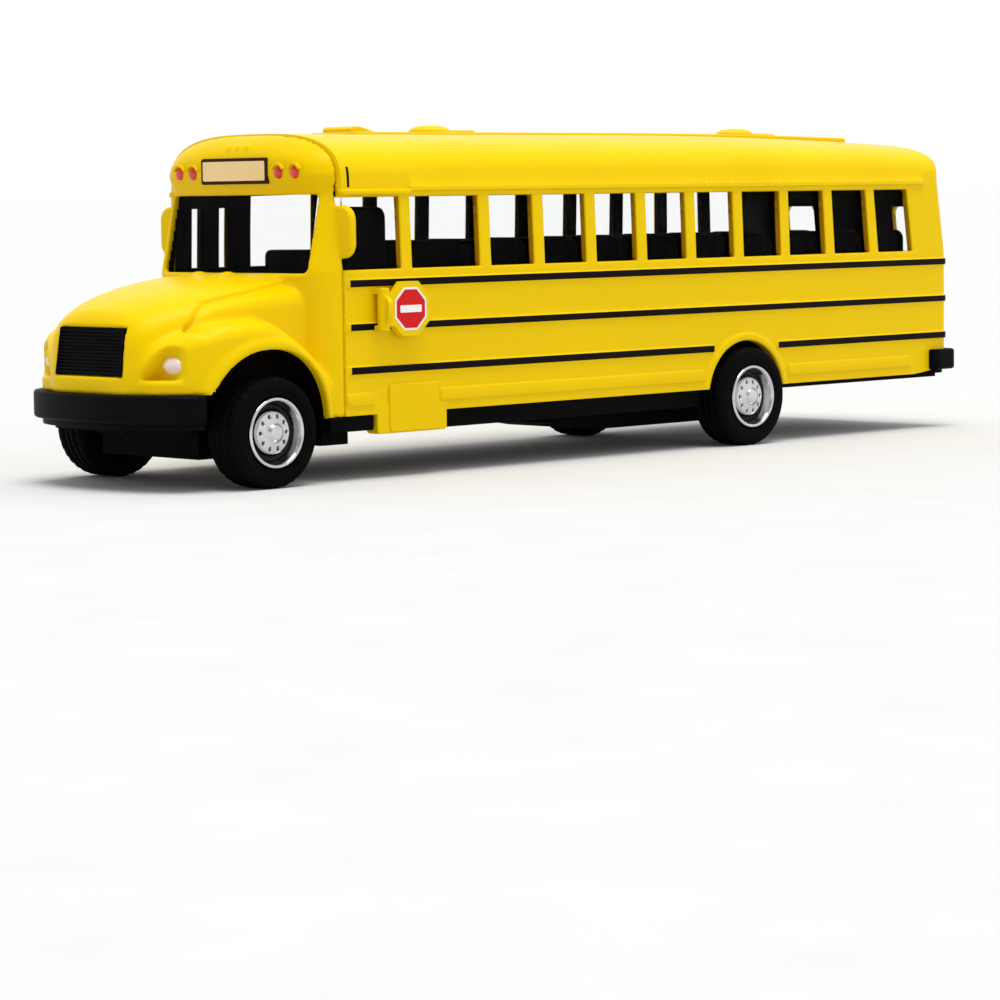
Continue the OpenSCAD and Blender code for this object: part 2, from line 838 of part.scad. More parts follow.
// Side view of the bonnet; it falls to a rounded nose
function bonnet_side(inset, foot) = concat(
    [
        [seam_x, foot],
        [seam_x, bonnet_z - inset]
    ],
    quarter(cowl_x, bonnet_z - bonnet_fall - inset, nose_len - inset, bonnet_fall, bonnet_power),
    [[nose_x - inset, foot]]
);
function bonnet_plan(inset) = both_ways(concat(
    [[seam_x, bonnet_hw - inset]],
    quarter(cowl_x, nose_hw - inset, nose_len - inset, bonnet_hw - nose_hw, bonnet_power)
));
function bonnet_section(inset, foot) = both_sides(concat(
    [[bonnet_hw - inset, foot]],
    swapped(quarter(bonnet_z - bonnet_crown - inset, 0, bonnet_crown, bonnet_hw - inset, crown_power))
));
module bonnet_form(inset, foot) {
    intersection() {
        across(bonnet_side(inset, foot));
        upright(bonnet_plan(inset), foot, bonnet_z + past);
        along(bonnet_section(inset, foot), seam_x, nose_x + past);
    }
}
// Wings over the front wheels, one form from side to side under the bonnet
function wing_side(inset) = concat(
    reversed(quarter(
        front_axle_x, nose_z - inset,
        cowl_x - wing_back - front_axle_x, wing_z - nose_z, wing_back_power
    )),
    tail(quarter(
        front_axle_x, wing_z - wing_fall - inset,
        nose_x - wing_set - inset - front_axle_x, wing_fall, wing_power
    )),
    [[nose_x - wing_set - inset, nose_z - inset]]
);
function wing_plan(inset) = both_ways(concat(
    [[cowl_x - wing_back, wing_hw - inset]],
    quarter(
        nose_x - wing_corner, wing_hw - wing_turn - inset,
        wing_corner - wing_set - inset, wing_turn, wing_plan_power
    )
));
function wing_section(inset) = both_sides(concat(
    [[wing_hw - inset, nose_z - inset]],
    arc(wing_hw - wing_r - inset, wing_z - wing_r - inset, wing_r, 0, 90, corner_steps),
    [[0, wing_z - inset]]
));
module wing_form(inset) {
    intersection() {
        across(wing_side(inset));
        upright(wing_plan(inset), nose_z - inset, wing_z + past);
        along(wing_section(inset), cowl_x - wing_back, nose_x + past);
    }
}
// Front wheel arch seen from the side
function arch_half(half) = quarter(front_axle_x, axle_z, half, front_arch_z - axle_z, arch_power);
front_arch = concat(
    [[front_axle_x - front_arch_hw, 0]],
    reversed(arch_half(-front_arch_hw)),
    tail(arch_half(front_arch_hw)),
    [[front_axle_x + front_arch_hw, 0]]
);
module front_wells() {
    for (s = [-1, 1])
        translate([0, s * (well_y + far), 0])
            across(front_arch, far);
}
// A mirror, a fin with a round outer edge
module mirror_fin(side) {
    x = seam_x + mirror_gap;
    root_y = eave_hw - mirror_root;
    corner_y = body_hw + mirror_out - mirror_r;
    mid_z = (sill_z + head_z) / 2 + mirror_rise;
    low_z = mid_z - mirror_h / 2;
    high_z = mid_z + mirror_h / 2;
    fin = concat(
        [[root_y, high_z], [root_y, low_z]],
        arc(corner_y, low_z + mirror_r, mirror_r, -90, 0, corner_steps),
        arc(corner_y, high_z - mirror_r, mirror_r, 0, 90, corner_steps)
    );
    along(side > 0 ? fin : flipped(fin), x, x + mirror_t);
}
// Raised lamps and the destination panel on the roof cap
module front_relief() {
    for (y = front_warn_y)
        for (s = [-1, 1])
            bar_x(s * y, warn_z, lamp_dot_r, cap_x - wall, cap_x + rib_out);
    span([cap_x - wall, -panel_hw, panel_z], [cap_x + rib_out, panel_hw, panel_z + panel_h]);
}
// Cowl side that carries the step well on to the front casting
module front_step() {
    front_x = front_axle_x - front_arch_hw - step_front_gap;
    span([seam_x, -body_hw, step_z], [front_x, -body_hw + box_t, skirt_z + rib_h]);
}
module headlamp_bore(side, r) {
    bar_x(side * lamp_y, lamp_z, r, lamp_seat_x, nose_x + past);
}
module front_post() {
    translate([front_post_x, 0, post_foot_z])
        cylinder(r = post_r, h = bonnet_z - post_drop - post_foot_z);
}
module front_casting() {
    color("gold")
        difference() {
            union() {
                difference() {
                    union() {
                        cab_form(0, skirt_z, seam_x);
                        bonnet_form(0, nose_z);
                        wing_form(0);
                        front_relief();
                        mirror_fin(1);
                        mirror_fin(-1);
                    }
                    cab_form(wall, skirt_z - past, seam_x - past);
                    bonnet_form(2 * wall, skirt_z - past);
                    wing_form(2 * wall);
                    span([seam_x, -screen_hw, sill_z], [cowl_x + past, screen_hw, head_z]);
                    span(
                        [nose_x - grille_d, -grille_hw, grille_z],
                        [nose_x + past, grille_hw, grille_z + grille_h]
                    );
                }
                front_step();
                front_post();
                for (s = [-1, 1])
                    intersection() {
                        bar_x(s * lamp_y, lamp_z, lamp_r + wall, lamp_seat_x - wall, lamp_seat_x + wall);
                        wing_form(0);
                    }
            }
            front_wells();
            for (s = [-1, 1])
                headlamp_bore(s, lamp_r);
            screw_bore(front_post_x);
        }
}
module grille() {
    bar_h = grille_h / (2 * grille_bars + 1);
    color("black") {
        span(
            [nose_x - grille_d, -grille_hw, grille_z],
            [nose_x - grille_d / 2, grille_hw, grille_z + grille_h]
        );
        for (i = [0:grille_bars])
            span(
                [nose_x - grille_d / 2, -grille_hw, grille_z + 2 * i * bar_h],
                [nose_x, grille_hw, grille_z + (2 * i + 1) * bar_h]
            );
    }
}
// Lens with a domed face in its round seat
module headlamp(side) {
    color("mistyrose")
        intersection() {
            headlamp_bore(side, lamp_r);
            translate([lamp_seat_x + lamp_depth - lamp_dome_r, side * lamp_y, lamp_z])
                sphere(r = lamp_dome_r);
        }
}
module headlamp_left() { headlamp(1); }
module headlamp_right() { headlamp(-1); }

// Base and bumpers

function base_plan() =
    let (
        rear_back = rear_axle_x - rear_arch_r - arch_rim,
        rear_front = rear_axle_x + rear_arch_r + arch_rim,
        front_back = front_axle_x - front_arch_hw - arch_rim,
        front_front = front_axle_x + front_arch_hw + arch_rim,
        box_hw = body_hw - box_t - base_gap
    )
        both_ways([
            [base_rear_x, rail_hw],
            [rear_back, rail_hw],
            [rear_back, base_neck],
            [rear_front, base_neck],
            [rear_front, rail_hw],
            [box_x - base_gap, rail_hw],
            [box_x - base_gap, box_hw],
            [front_back, box_hw],
            [front_back, base_neck],
            [front_front, base_neck],
            [front_front, rail_hw - rail_t],
            [valance_x, rail_hw - valance_in]
        ]);
// Block under the base that carries the front axle
module axle_block(side) {
    y = side * (base_neck - block_t);
    span(
        [front_axle_x - block_len / 2, y - block_t / 2, axle_z - block_len / 2],
        [front_axle_x + block_len / 2, y + block_t / 2, base_top]
    );
}
// Rail along one edge of the base between the wheels
module side_rail(side) {
    translate([0, side * (rail_hw - rail_t / 2), 0])
        span(
            [rear_axle_x + rear_arch_r + arch_rim, -rail_t / 2, base_z],
            [box_x - base_gap, rail_t / 2, plate_z + eps]
        );
}
module chassis_base() {
    valance_hw = rail_hw - valance_in;
    color("#1c1c1c")
        difference() {
            union() {
                base_plate();
                cab_block();
                span(
                    [front_axle_x - valance_len / 3, -valance_hw, valance_z],
                    [front_axle_x + valance_len * 2 / 3, valance_hw, plate_z + eps]
                );
                for (s = [-1, 1]) {
                    side_rail(s);
                    axle_block(s);
                }
                span([tub_rear_x, -tub_hw, tub_z], [tub_front_x, tub_hw, base_top]);
                front_skid();
                wheel_walls(rear_axle_x, rear_arch_r, rear_arch_r, well_top_z);
                wheel_walls(front_axle_x, front_axle_x - cowl_x - base_gap, tyre_r, front_arch_z);
            }
            span(
                [tub_rear_x + case_t, -tub_hw + case_t, tub_floor],
                [tub_front_x - case_t, tub_hw - case_t, far]
            );
            bar_y(front_axle_x, axle_z, axle_r + run_gap, -far, far);
            rear_axle_slot();
            for (x = [rear_post_x, front_post_x])
                translate([x, 0, 0]) {
                    cylinder(r = screw_r + run_gap, h = far);
                    cylinder(r = 2 * screw_r + run_gap, h = screw_seat_z);
                }
        }
}
// Base plate, thinned to a lip beside its keel behind the rear wheels
module base_plate() {
    lip_x = rear_axle_x - rear_arch_r - arch_rim;
    difference() {
        upright(base_plan(), plate_z, base_top);
        span([base_rear_x - past, keel_hw, 0], [lip_x, far, lip_z]);
        span([base_rear_x - past, -far, 0], [lip_x, -keel_hw, lip_z]);
    }
}
// Block under the cab's floor, behind the front wheels
module cab_block() {
    front = front_axle_x - front_arch_hw - arch_rim;
    half = body_hw - box_t - base_gap;
    span([front - cab_block_len, -half, cab_block_z], [front, half, plate_z + eps]);
}
// Inner walls of a pair of wheel wells
module wheel_walls(x, back, front, top) {
    for (s = [-1, 1])
        translate([x, s * (base_neck - case_t / 2), 0])
            span([-back, -case_t / 2, plate_z], [front, case_t / 2, top]);
}
// Sloping skid ahead of the motor tub
module front_skid() {
    across([
        [tub_front_x - eps, tub_z],
        [tub_front_x + skid_len, tub_z + skid_rise],
        [tub_front_x + skid_len + skid_nose, tub_z + 2 * skid_rise],
        [tub_front_x + skid_len + skid_nose, plate_z + eps],
        [tub_front_x - eps, plate_z + eps]
    ], tub_hw);
}
// Open-topped slot that the rear axle drops into
module rear_axle_slot() {
    across([
        [rear_axle_x - axle_r - free_gap, axle_z - axle_r - free_gap],
        [rear_axle_x + axle_r + free_gap, axle_z - axle_r - free_gap],
        [rear_axle_x + axle_r + free_gap, far],
        [rear_axle_x - axle_r - free_gap, far]
    ]);
}
// Half plan of the front bumper's outer face, drawn in by an inset, up to the flat of its nose
function bumper_curve(inset) =
    let (curve = quarter(
        bumper_back_x, 0,
        bumper_x - inset - bumper_back_x, bumper_hw - bumper_tuck - inset, bumper_power
    ))
        [for (i = [0:len(curve) - 2]) i < len(curve) - 2 ? curve[i] : [bumper_x - inset, curve[i][1]]];
module front_bumper() {
    color("#161616")
        difference() {
            upright(both_ways(bumper_curve(0)), bumper_z, nose_z);
            upright(both_ways(bumper_curve(bumper_t)), bumper_z + bumper_t, nose_z + past);
            span([0, -base_neck, 0], [bumper_back_x + rail_t, base_neck, far]);
            translate([front_post_x, 0, 0])
                cylinder(r = post_r + base_gap, h = far);
            upright(base_plan(), plate_z - base_gap, base_top + base_gap);
        }
}
module rear_bumper() {
    low = rear_bumper_z;
    inner_hw = body_hw + rib_out + base_gap;
    front_x = rear_x - rib_out - base_gap;
    back_x = front_x - bumper_t;
    outline = both_ways(concat(
        [[rear_x + bumper_wrap, bumper_hw]],
        arc(back_x + bumper_corner, bumper_hw - bumper_corner, bumper_corner, 90, 180, corner_steps)
    ));
    color("#161616")
        difference() {
            union() {
                upright(outline, low, low + rear_bumper_h);
                span([back_x, -rail_hw, lip_z], [base_rear_x, rail_hw, skirt_z - base_gap]);
                span([back_x, -rail_hw, lip_z], [front_x, rail_hw, low + eps]);
            }
            span([front_x, -inner_hw, skirt_z - base_gap], [far, inner_hw, far]);
        }
}

// Screws from below into the posts of both castings
module chassis_screws() {
    head_h = base_t / 2;
    slot_hw = screw_r / 4;
    color("silver")
        for (x = [rear_post_x, front_post_x])
            translate([x, 0, 0]) {
                translate([0, 0, screw_seat_z - head_h])
                    difference() {
                        cylinder(r = 2 * screw_r, h = head_h);
                        span([-2 * screw_r, -slot_hw, -past], [2 * screw_r, slot_hw, head_h / 2]);
                        span([-slot_hw, -2 * screw_r, -past], [slot_hw, 2 * screw_r, head_h / 2]);
                    }
                translate([0, 0, screw_seat_z - eps])
                    cylinder(r = screw_r, h = post_foot_z + screw_grip - past - screw_seat_z);
            }
}

// Interior

module bench(x, side) {
    low = side > 0 ? aisle_hw : -tray_hw;
    high = side > 0 ? tray_hw : -aisle_hw;
    span([x, low, floor_z - eps], [x + bench_len, high, floor_z + cushion_h]);
    seat_back(x, low, high, bench_z);
}
// Seat back with round upper corners
module seat_back(x, low, high, top) {
    along(concat(
        [[low, floor_z - eps], [high, floor_z - eps]],
        arc(high - seat_r, top - seat_r, seat_r, 0, 90, corner_steps),
        arc(low + seat_r, top - seat_r, seat_r, 90, 180, corner_steps)
    ), x - back_t, x);
}
module seat_tray() {
    color("#202020") {
        span([tray_rear_x, -tray_hw, floor_z - floor_t], [tray_front_x, tray_hw, floor_z]);
        for (i = [-1:win_count - 1])
            for (s = [-1, 1])
                bench(win_front_x - win_w + bench_set - i * win_pitch, s);
        for (s = [-1, 1])
            translate([rear_axle_x + rear_arch_r + leg_gap, s * (tray_hw - leg_t / 2), 0])
                span([0, -leg_t / 2, base_top], [leg_len, leg_t / 2, floor_z - floor_t + eps]);
    }
}
module driver_seat() {
    x = driver_win_x + driver_set;
    low = aisle_hw + driver_in;
    high = tray_hw - driver_in;
    color("#202020") {
        span([x, low, floor_z], [x + driver_len, high, floor_z + cushion_h]);
        translate([0, 0, eps])
            seat_back(x, low, high, driver_z);
    }
}
// Clear sheet behind the windows of one side
module side_glazing(side, from, to) {
    top_z = head_z + glass_lap;
    lean = side_lean * (top_z - belt_z) / (eave_z - belt_z);
    outer = body_hw - wall - glass_gap;
    sheet = [
        [outer, belt_z],
        [outer - lean, top_z],
        [outer - lean - glass_t, top_z],
        [outer - glass_t, belt_z]
    ];
    color([0.8, 0.9, 1, 0.35])
        along(side > 0 ? sheet : flipped(sheet), from, to);
}
module glazing_left() { side_glazing(1, glass_rear_x, seam_x - base_gap); }
module glazing_right() { side_glazing(-1, glass_rear_x, seam_x - base_gap); }
module windscreen_glazing() {
    front_x = cowl_x - wall - 2 * glass_gap;
    top_z = head_z + glass_lap;
    foot_z = bonnet_z - glass_end;
    lean = screen_lean * (top_z - sill_z) / (head_z + screen_rim - sill_z);
    color([0.8, 0.9, 1, 0.35])
        across([
            [front_x, foot_z],
            [front_x, sill_z],
            [front_x - lean, top_z],
            [front_x - lean - glass_t, top_z],
            [front_x - glass_t, sill_z],
            [front_x - glass_t, foot_z]
        ], screen_hw + glass_lap / 2);
}
module rear_glazing() {
    back_x = rear_x + rear_lean + wall + 2 * glass_gap;
    color([0.8, 0.9, 1, 0.35])
        for (s = [-1, 1])
            translate([0, s * (rear_win_y + rear_win_w / 2), 0])
                span(
                    [back_x, -rear_win_w / 2 - glass_lap, sill_z - glass_lap],
                    [back_x + glass_t, rear_win_w / 2 + glass_lap, rear_head_z + glass_lap]
                );
}

// Stop sign

module stop_sign() {
    knuckle_low = sign_z - sign_af / 2 + lug_h + free_gap;
    knuckle_high = sign_z + sign_af / 2 - lug_h - free_gap;
    tab_low = sign_z - tab_h / 2;
    tab_x = sign_x - knuckle_r / 2;
    tab_r = tab_h / 3;
    tab_y = sign_pin_y + tab_out - tab_r;
    half_side = 180 / 8;
    color("gold")
        difference() {
            union() {
                translate([sign_mid_x, sign_back_y + sign_t, sign_z])
                    rotate([90, 0, 0])
                        rotate([0, 0, half_side])
                            cylinder(r = sign_af / 2 / cos(half_side), h = sign_t, $fn = 8);
                translate([sign_x, sign_pin_y, knuckle_low])
                    cylinder(r = knuckle_r, h = knuckle_high - knuckle_low);
                span(
                    [sign_mid_x, sign_back_y, knuckle_low],
                    [sign_x, sign_back_y + sign_t, knuckle_high]
                );
                along(concat(
                    [[sign_pin_y, tab_low + tab_h], [sign_pin_y, tab_low]],
                    arc(tab_y, tab_low + tab_r, tab_r, -90, 0, corner_steps),
                    arc(tab_y, tab_low + tab_h - tab_r, tab_r, 0, 90, corner_steps)
                ), tab_x, tab_x + knuckle_r);
            }
            translate([sign_x, sign_pin_y, sign_z - sign_af])
                cylinder(r = pin_r + run_gap, h = 2 * sign_af);
        }
}
module stop_sign_pin() {
    color("silver")
        translate([sign_x, sign_pin_y, sign_z - sign_af / 2])
            cylinder(r = pin_r, h = sign_af);
}

// Wheels and axles

module tyre(x, side) {
    low = tyre_shoulder;
    high = tyre_w - tyre_shoulder;
    edge_r = tyre_r - tyre_shoulder;
    color("#181818")
        translate([x, side * (wheel_y - tyre_w), axle_z])
            rotate([-90 * side, 0, 0])
                rotate_extrude()
                    polygon(concat(
                        [[rim_r, 0], [edge_r, 0]],
                        arc(edge_r, low, tyre_shoulder, -90, 0, corner_steps),
                        arc(edge_r, high, tyre_shoulder, 0, 90, corner_steps),
                        [[rim_r, tyre_w - hub_set]]
                    ));
}
module tyre_front_left() { tyre(front_axle_x, 1); }
module tyre_front_right() { tyre(front_axle_x, -1); }
module tyre_rear_left() { tyre(rear_axle_x, 1); }
module tyre_rear_right() { tyre(rear_axle_x, -1); }
// Chromed hub with a dished face, pressed on the axle's end
module hub(x, side) {
    lip = tyre_w - hub_set;
    color("lightgray")
        translate([x, side * (wheel_y - tyre_w), axle_z])
            rotate([-90 * side, 0, 0])
                difference() {
                    rotate_extrude()
                        polygon([
                            [0, hub_set],
                            [rim_r, hub_set],
                            [rim_r, lip],
                            [rim_r - hub_lip, lip],
                            [rim_r - hub_lip - hub_slope, lip - hub_dish],
                            [hub_face_r, lip - hub_face],
                            [hub_cap_r, lip - hub_face],
                            [hub_cap_r, lip - hub_face + hub_cap],
                            [0, lip - hub_face + hub_cap]
                        ]);
                    translate([0, 0, -past])
                        cylinder(r = axle_r, h = tyre_w - hub_in + past);
                }
}
module hub_front_left() { hub(front_axle_x, 1); }
module hub_front_right() { hub(front_axle_x, -1); }
module hub_rear_left() { hub(rear_axle_x, 1); }
module hub_rear_right() { hub(rear_axle_x, -1); }
module front_axle() {
    color("silver")
        bar_y(front_axle_x, axle_z, axle_r, -wheel_y + hub_in, wheel_y - hub_in);
}
module rear_axle() {
    color("silver")
        bar_y(rear_axle_x, axle_z, axle_r, -wheel_y + hub_in, wheel_y - hub_in);
}

// Pull-back motor

// Slim straight-sided teeth, one of them centred on the phase angle
function gear_outline(teeth, phase) = [
    for (i = [0:teeth - 1])
        let (
            a = phase + 360 * i / teeth,
            low = gear_m * (teeth / 2 - root),
            high = gear_m * (teeth / 2 + tip),
            low_w = atan(root_w * gear_m / low),
            high_w = atan(tip_w * gear_m / high)
        )
            for (p = [[low, -low_w], [high, -high_w], [high, high_w], [low, low_w]])
                [p[0] * cos(a + p[1]), p[0] * sin(a + p[1])]
];
module gear(x, z, teeth, phase, span_y, bore_r) {
    translate([x, span_y[1], z])
        rotate([90, 0, 0])
            difference() {
                linear_extrude(height = span_y[1] - span_y[0])
                    polygon(gear_outline(teeth, phase));
                translate([0, 0, -past])
                    cylinder(r = bore_r, h = span_y[1] - span_y[0] + 2 * past);
            }
}
module axle_pinion() {
    color("ivory")
        gear(
            rear_axle_x, axle_z, axle_teeth, axle_dir,
            [wide_y[0] - gear_lap, wide_y[1] + gear_lap], axle_r
        );
}
module idler_gear() {
    color("ivory") {
        gear(idler_x, idler_z, idler_teeth, axle_dir + 180 + 180 / idler_teeth, wide_y, idler_r);
        gear(
            idler_x, idler_z, idler_pinion_teeth, spring_dir,
            [narrow_y[0] - gear_lap, wide_y[0] + eps], idler_r
        );
    }
}
module idler_shaft() {
    color("silver")
        bar_y(idler_x, idler_z, idler_r, -case_hw + eps, case_hw - eps);
}
module spring_gear() {
    color("ivory")
        gear(arbor_x, arbor_z, spring_teeth, spring_dir + 180 + 180 / spring_teeth, narrow_y, arbor_r);
}
module spring_arbor() {
    color("silver")
        bar_y(arbor_x, arbor_z, arbor_r, -case_hw + eps, case_hw - eps);
}
// Flat strip wound from the arbor out to the case
module mainspring() {
    turn_steps = 24;
    steps = spring_turns * turn_steps;
    in_r = arbor_r + free_gap;
    out_r = gear_m * spring_teeth / 2 - 2 * strip_t;
    function spiral(i, extra) =
        let (a = 360 * i / turn_steps, r = in_r + (out_r - in_r) * i / steps + extra)
            [r * cos(a), r * sin(a)];
    color("steelblue")
        translate([arbor_x, spring_y[1], arbor_z])
            rotate([90, 0, 0])
                linear_extrude(height = spring_y[1] - spring_y[0])
                    polygon(concat(
                        [for (i = [0:steps]) spiral(i, 0)],
                        [for (i = [steps:-1:0]) spiral(i, strip_t)]
                    ));
}
module motor_case(side) {
    color("#2a2a2a")
        difference() {
            span(
                [case_rear_x, side > 0 ? 0 : -case_hw, tub_floor],
                [case_front_x, side > 0 ? case_hw : 0, case_top_z + case_t]
            );
            span(
                [case_rear_x + case_t, side > 0 ? -past : -case_hw + case_t, case_in_z],
                [case_front_x - case_t, side > 0 ? case_hw - case_t : past, case_top_z]
            );
            bar_y(rear_axle_x, axle_z, axle_r + run_gap, -far, far);
            bar_y(idler_x, idler_z, idler_r + run_gap, -far, far);
            bar_y(arbor_x, arbor_z, arbor_r + run_gap, -far, far);
        }
}
module motor_case_left() { motor_case(1); }
module motor_case_right() { motor_case(-1); }

body_shell();
front_casting();
grille();
headlamp_left();
headlamp_right();
chassis_base();
front_bumper();
rear_bumper();
chassis_screws();
seat_tray();
driver_seat();
glazing_left();
glazing_right();
windscreen_glazing();
rear_glazing();
stop_sign();
stop_sign_pin();
tyre_front_left();
tyre_front_right();
tyre_rear_left();
tyre_rear_right();
hub_front_left();
hub_front_right();
hub_rear_left();
hub_rear_right();
front_axle();
rear_axle();
motor_case_left();
motor_case_right();
axle_pinion();
idler_gear();
idler_shaft();
spring_gear();
spring_arbor();
mainspring();
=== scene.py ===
"""Toy bus: smooth castings, painted bands, lamps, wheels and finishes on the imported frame."""
from math import ceil, copysign, cos, hypot, pi, radians, sin, sqrt

import bmesh
import bpy
import numpy as np
from mathutils import Matrix, Vector


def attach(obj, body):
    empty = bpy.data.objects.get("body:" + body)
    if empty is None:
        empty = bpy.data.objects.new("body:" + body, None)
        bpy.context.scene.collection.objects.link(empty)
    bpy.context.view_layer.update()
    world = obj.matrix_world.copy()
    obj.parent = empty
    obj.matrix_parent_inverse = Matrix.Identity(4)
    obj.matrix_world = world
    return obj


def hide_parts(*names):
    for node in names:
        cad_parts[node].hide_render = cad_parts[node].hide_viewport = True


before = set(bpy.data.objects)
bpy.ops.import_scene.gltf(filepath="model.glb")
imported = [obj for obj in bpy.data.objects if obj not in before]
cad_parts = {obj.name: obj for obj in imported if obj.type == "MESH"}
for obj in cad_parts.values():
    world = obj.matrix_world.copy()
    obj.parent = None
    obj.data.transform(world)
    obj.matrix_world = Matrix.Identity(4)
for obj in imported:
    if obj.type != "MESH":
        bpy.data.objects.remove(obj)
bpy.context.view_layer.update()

MM = 0.001

# Camera fitted to the photograph's upper view
CAMERA_PLACE = Vector((462.607, 467.590, 50.738)) * MM
CAMERA_RIGHT = Vector((-0.713374, 0.700660, -0.013163))
CAMERA_UP = Vector((-0.073166, -0.055787, 0.995758))
CAMERA_LENS = 120.878
CAMERA_SENSOR = 36.0

# Main sizes of the castings in millimetres, as in the part's source
BODY_HW = 24.2
EAVE_HW = 23.6
EAVE_Z = 52.3
BELT_Z = 37.0
SKIRT_Z = 11.6
WALL = 1.4
ROOF_RISE = 9.6
ROOF_Z = EAVE_Z + ROOF_RISE
ROOF_POWER = 3
REAR_X = -106.0
REAR_LEAN = 1.9
REAR_FLAT_HW = 22.0
ROOF_REAR_R = 4.0
SEAM_X = 66.0
SILL_Z = 37.5
HEAD_Z = 50.4
AXLE_Z = 9.75
REAR_AXLE_X = -41.0
REAR_ARCH_R = 11.1
FRONT_AXLE_X = 83.2
FRONT_ARCH_HW = 13.0
FRONT_ARCH_Z = 24.2
RIB_ZS = (35.1, 27.35, 19.6)
LOW_RIB_Z = 14.4
RIB_HALF = 0.6
RIB_OUT = 0.4


def link(obj):
    bpy.context.scene.collection.objects.link(obj)
    return obj


def make_camera():
    data = bpy.data.cameras.new("camera")
    data.lens = CAMERA_LENS
    data.sensor_width = CAMERA_SENSOR
    data.clip_start = 0.01
    camera = link(bpy.data.objects.new("camera", data))
    back = CAMERA_RIGHT.cross(CAMERA_UP)
    turn = Matrix((CAMERA_RIGHT, CAMERA_UP, back)).transposed().to_4x4()
    camera.matrix_world = Matrix.Translation(CAMERA_PLACE) @ turn
    bpy.context.scene.camera = camera


# Materials


def set_inputs(node, values):
    for name, value in values.items():
        node.inputs[name].default_value = value


def node_material(name, colour, roughness, metallic=0.0, shine=0.5):
    """A Principled material; returns it with its tree and shader."""
    material = bpy.data.materials.new(name)
    material.use_nodes = True
    tree = material.node_tree
    shader = tree.nodes["Principled BSDF"]
    set_inputs(shader, {"Base Color": (*colour, 1), "Roughness": roughness})
    set_inputs(shader, {"Metallic": metallic, "Specular IOR Level": shine})
    return material, tree, shader


def noise_into(tree, kind, entry, scale, detail):
    """A new node that takes noise over the object as its entry."""
    kinds = ("TexCoord", "TexNoise", kind)
    coords, noise, node = [tree.nodes.new("ShaderNode" + k) for k in kinds]
    set_inputs(noise, {"Scale": scale, "Detail": detail})
    tree.links.new(coords.outputs["Object"], noise.inputs["Vector"])
    tree.links.new(noise.outputs["Fac"], node.inputs[entry])
    return node


def fine_bump(tree, shader, scale, strength, distance):
    bump = noise_into(tree, "Bump", "Height", scale, detail=4)
    set_inputs(bump, {"Strength": strength, "Distance": distance})
    tree.links.new(bump.outputs["Normal"], shader.inputs["Normal"])


def vary_colour(tree, shader, low, high, scale):
    shades = noise_into(tree, "ValToRGB", "Fac", scale, detail=3)
    for stop, position, colour in zip(shades.color_ramp.elements, (0.3, 0.7), (low, high)):
        stop.position = position
        stop.color = (*colour, 1)
    tree.links.new(shades.outputs["Color"], shader.inputs["Base Color"])


def vary_roughness(tree, shader, low, high, scale):
    spread = noise_into(tree, "MapRange", "Value", scale, detail=5)
    set_inputs(spread, {"To Min": low, "To Max": high})
    tree.links.new(spread.outputs["Result"], shader.inputs["Roughness"])


def varied(name, low, high, roughness, patches, spread, mottle, bump, **shading):
    """A material whose colour, gloss and surface vary a little over the object.

    Patches and mottle are noise scales, spread is the roughness's share at each end,
    and bump is a noise scale, a strength and a distance."""
    material, tree, shader = node_material(name, high, roughness, **shading)
    vary_colour(tree, shader, low, high, patches)
    vary_roughness(tree, shader, roughness * spread[0], roughness * spread[1], mottle)
    fine_bump(tree, shader, *bump)
    return material


def enamel(name, low, high, roughness):
    """Glossy sprayed enamel with a faint orange peel."""
    return varied(
        name, low, high, roughness, patches=35, spread=(0.85, 1.25), mottle=220,
        bump=(420, 0.06, 0.00012), shine=0.06,
    )


def moulding(name, low, high, roughness, grain=900, strength=0.2):
    """Moulded plastic with fine grain."""
    return varied(
        name, low, high, roughness, patches=60, spread=(0.85, 1.2), mottle=180,
        bump=(grain, strength, 0.0001), shine=0.03,
    )


def metal(name, low, high, roughness):
    return varied(
        name, low, high, roughness, patches=150, spread=(0.6, 1.6), mottle=400,
        bump=(700, 0.05, 0.0001), metallic=1.0,
    )


def clear_plastic(name):
    material, tree, shader = node_material(name, (0.97, 0.98, 0.98), 0.03)
    set_inputs(shader, {"Transmission Weight": 1.0, "IOR": 1.06})
    vary_roughness(tree, shader, 0.0, 0.05, 90)
    return material


def lens_plastic(name, low, high, glow):
    material, tree, shader = node_material(name, high, 0.15)
    set_inputs(shader, {"Coat Weight": 0.5, "Subsurface Weight": glow})
    set_inputs(shader, {"Subsurface Radius": (0.001, 0.0006, 0.0004)})
    vary_colour(tree, shader, low, high, 300)
    fine_bump(tree, shader, 500, 0.1, 0.0001)
    return material


def grey(value):
    return (value, value, value)


yellow = enamel("yellow_enamel", (0.79, 0.53, 0.0004), (0.82, 0.56, 0.0006), 0.3)
# Painted shade: a darker orange copy of the yellow enamel for the edges of the openings
shade_yellow = enamel("reveal_painted_shade", (0.5, 0.24, 0.001), (0.58, 0.29, 0.0015), 0.4)
band_black = enamel("band_paint", (0.002, 0.0012, 0.001), (0.004, 0.0025, 0.002), 0.45)
# Painted shade: near-black for the inside of the castings and for the wheel wells
inside_painted_shade = moulding("casting_inside_painted_shade", (0.003, 0.0018, 0.0012), (0.006, 0.0035, 0.002), 0.6)
chassis = moulding("chassis_plastic", grey(0.0015), grey(0.003), 0.6)
black = moulding("black_plastic", grey(0.002), grey(0.004), 0.45)
seat_black = moulding("seat_plastic", (0.001, 0.001, 0.0014), (0.0025, 0.0025, 0.003), 0.5)
grille_black = moulding("grille_plastic", grey(0.0015), grey(0.003), 0.4)
rubber = moulding("tyre_rubber", grey(0.002), grey(0.004), 0.7, 1400, 0.35)
chrome = metal("hub_chrome", (0.5, 0.51, 0.52), (0.68, 0.69, 0.7), 0.12)
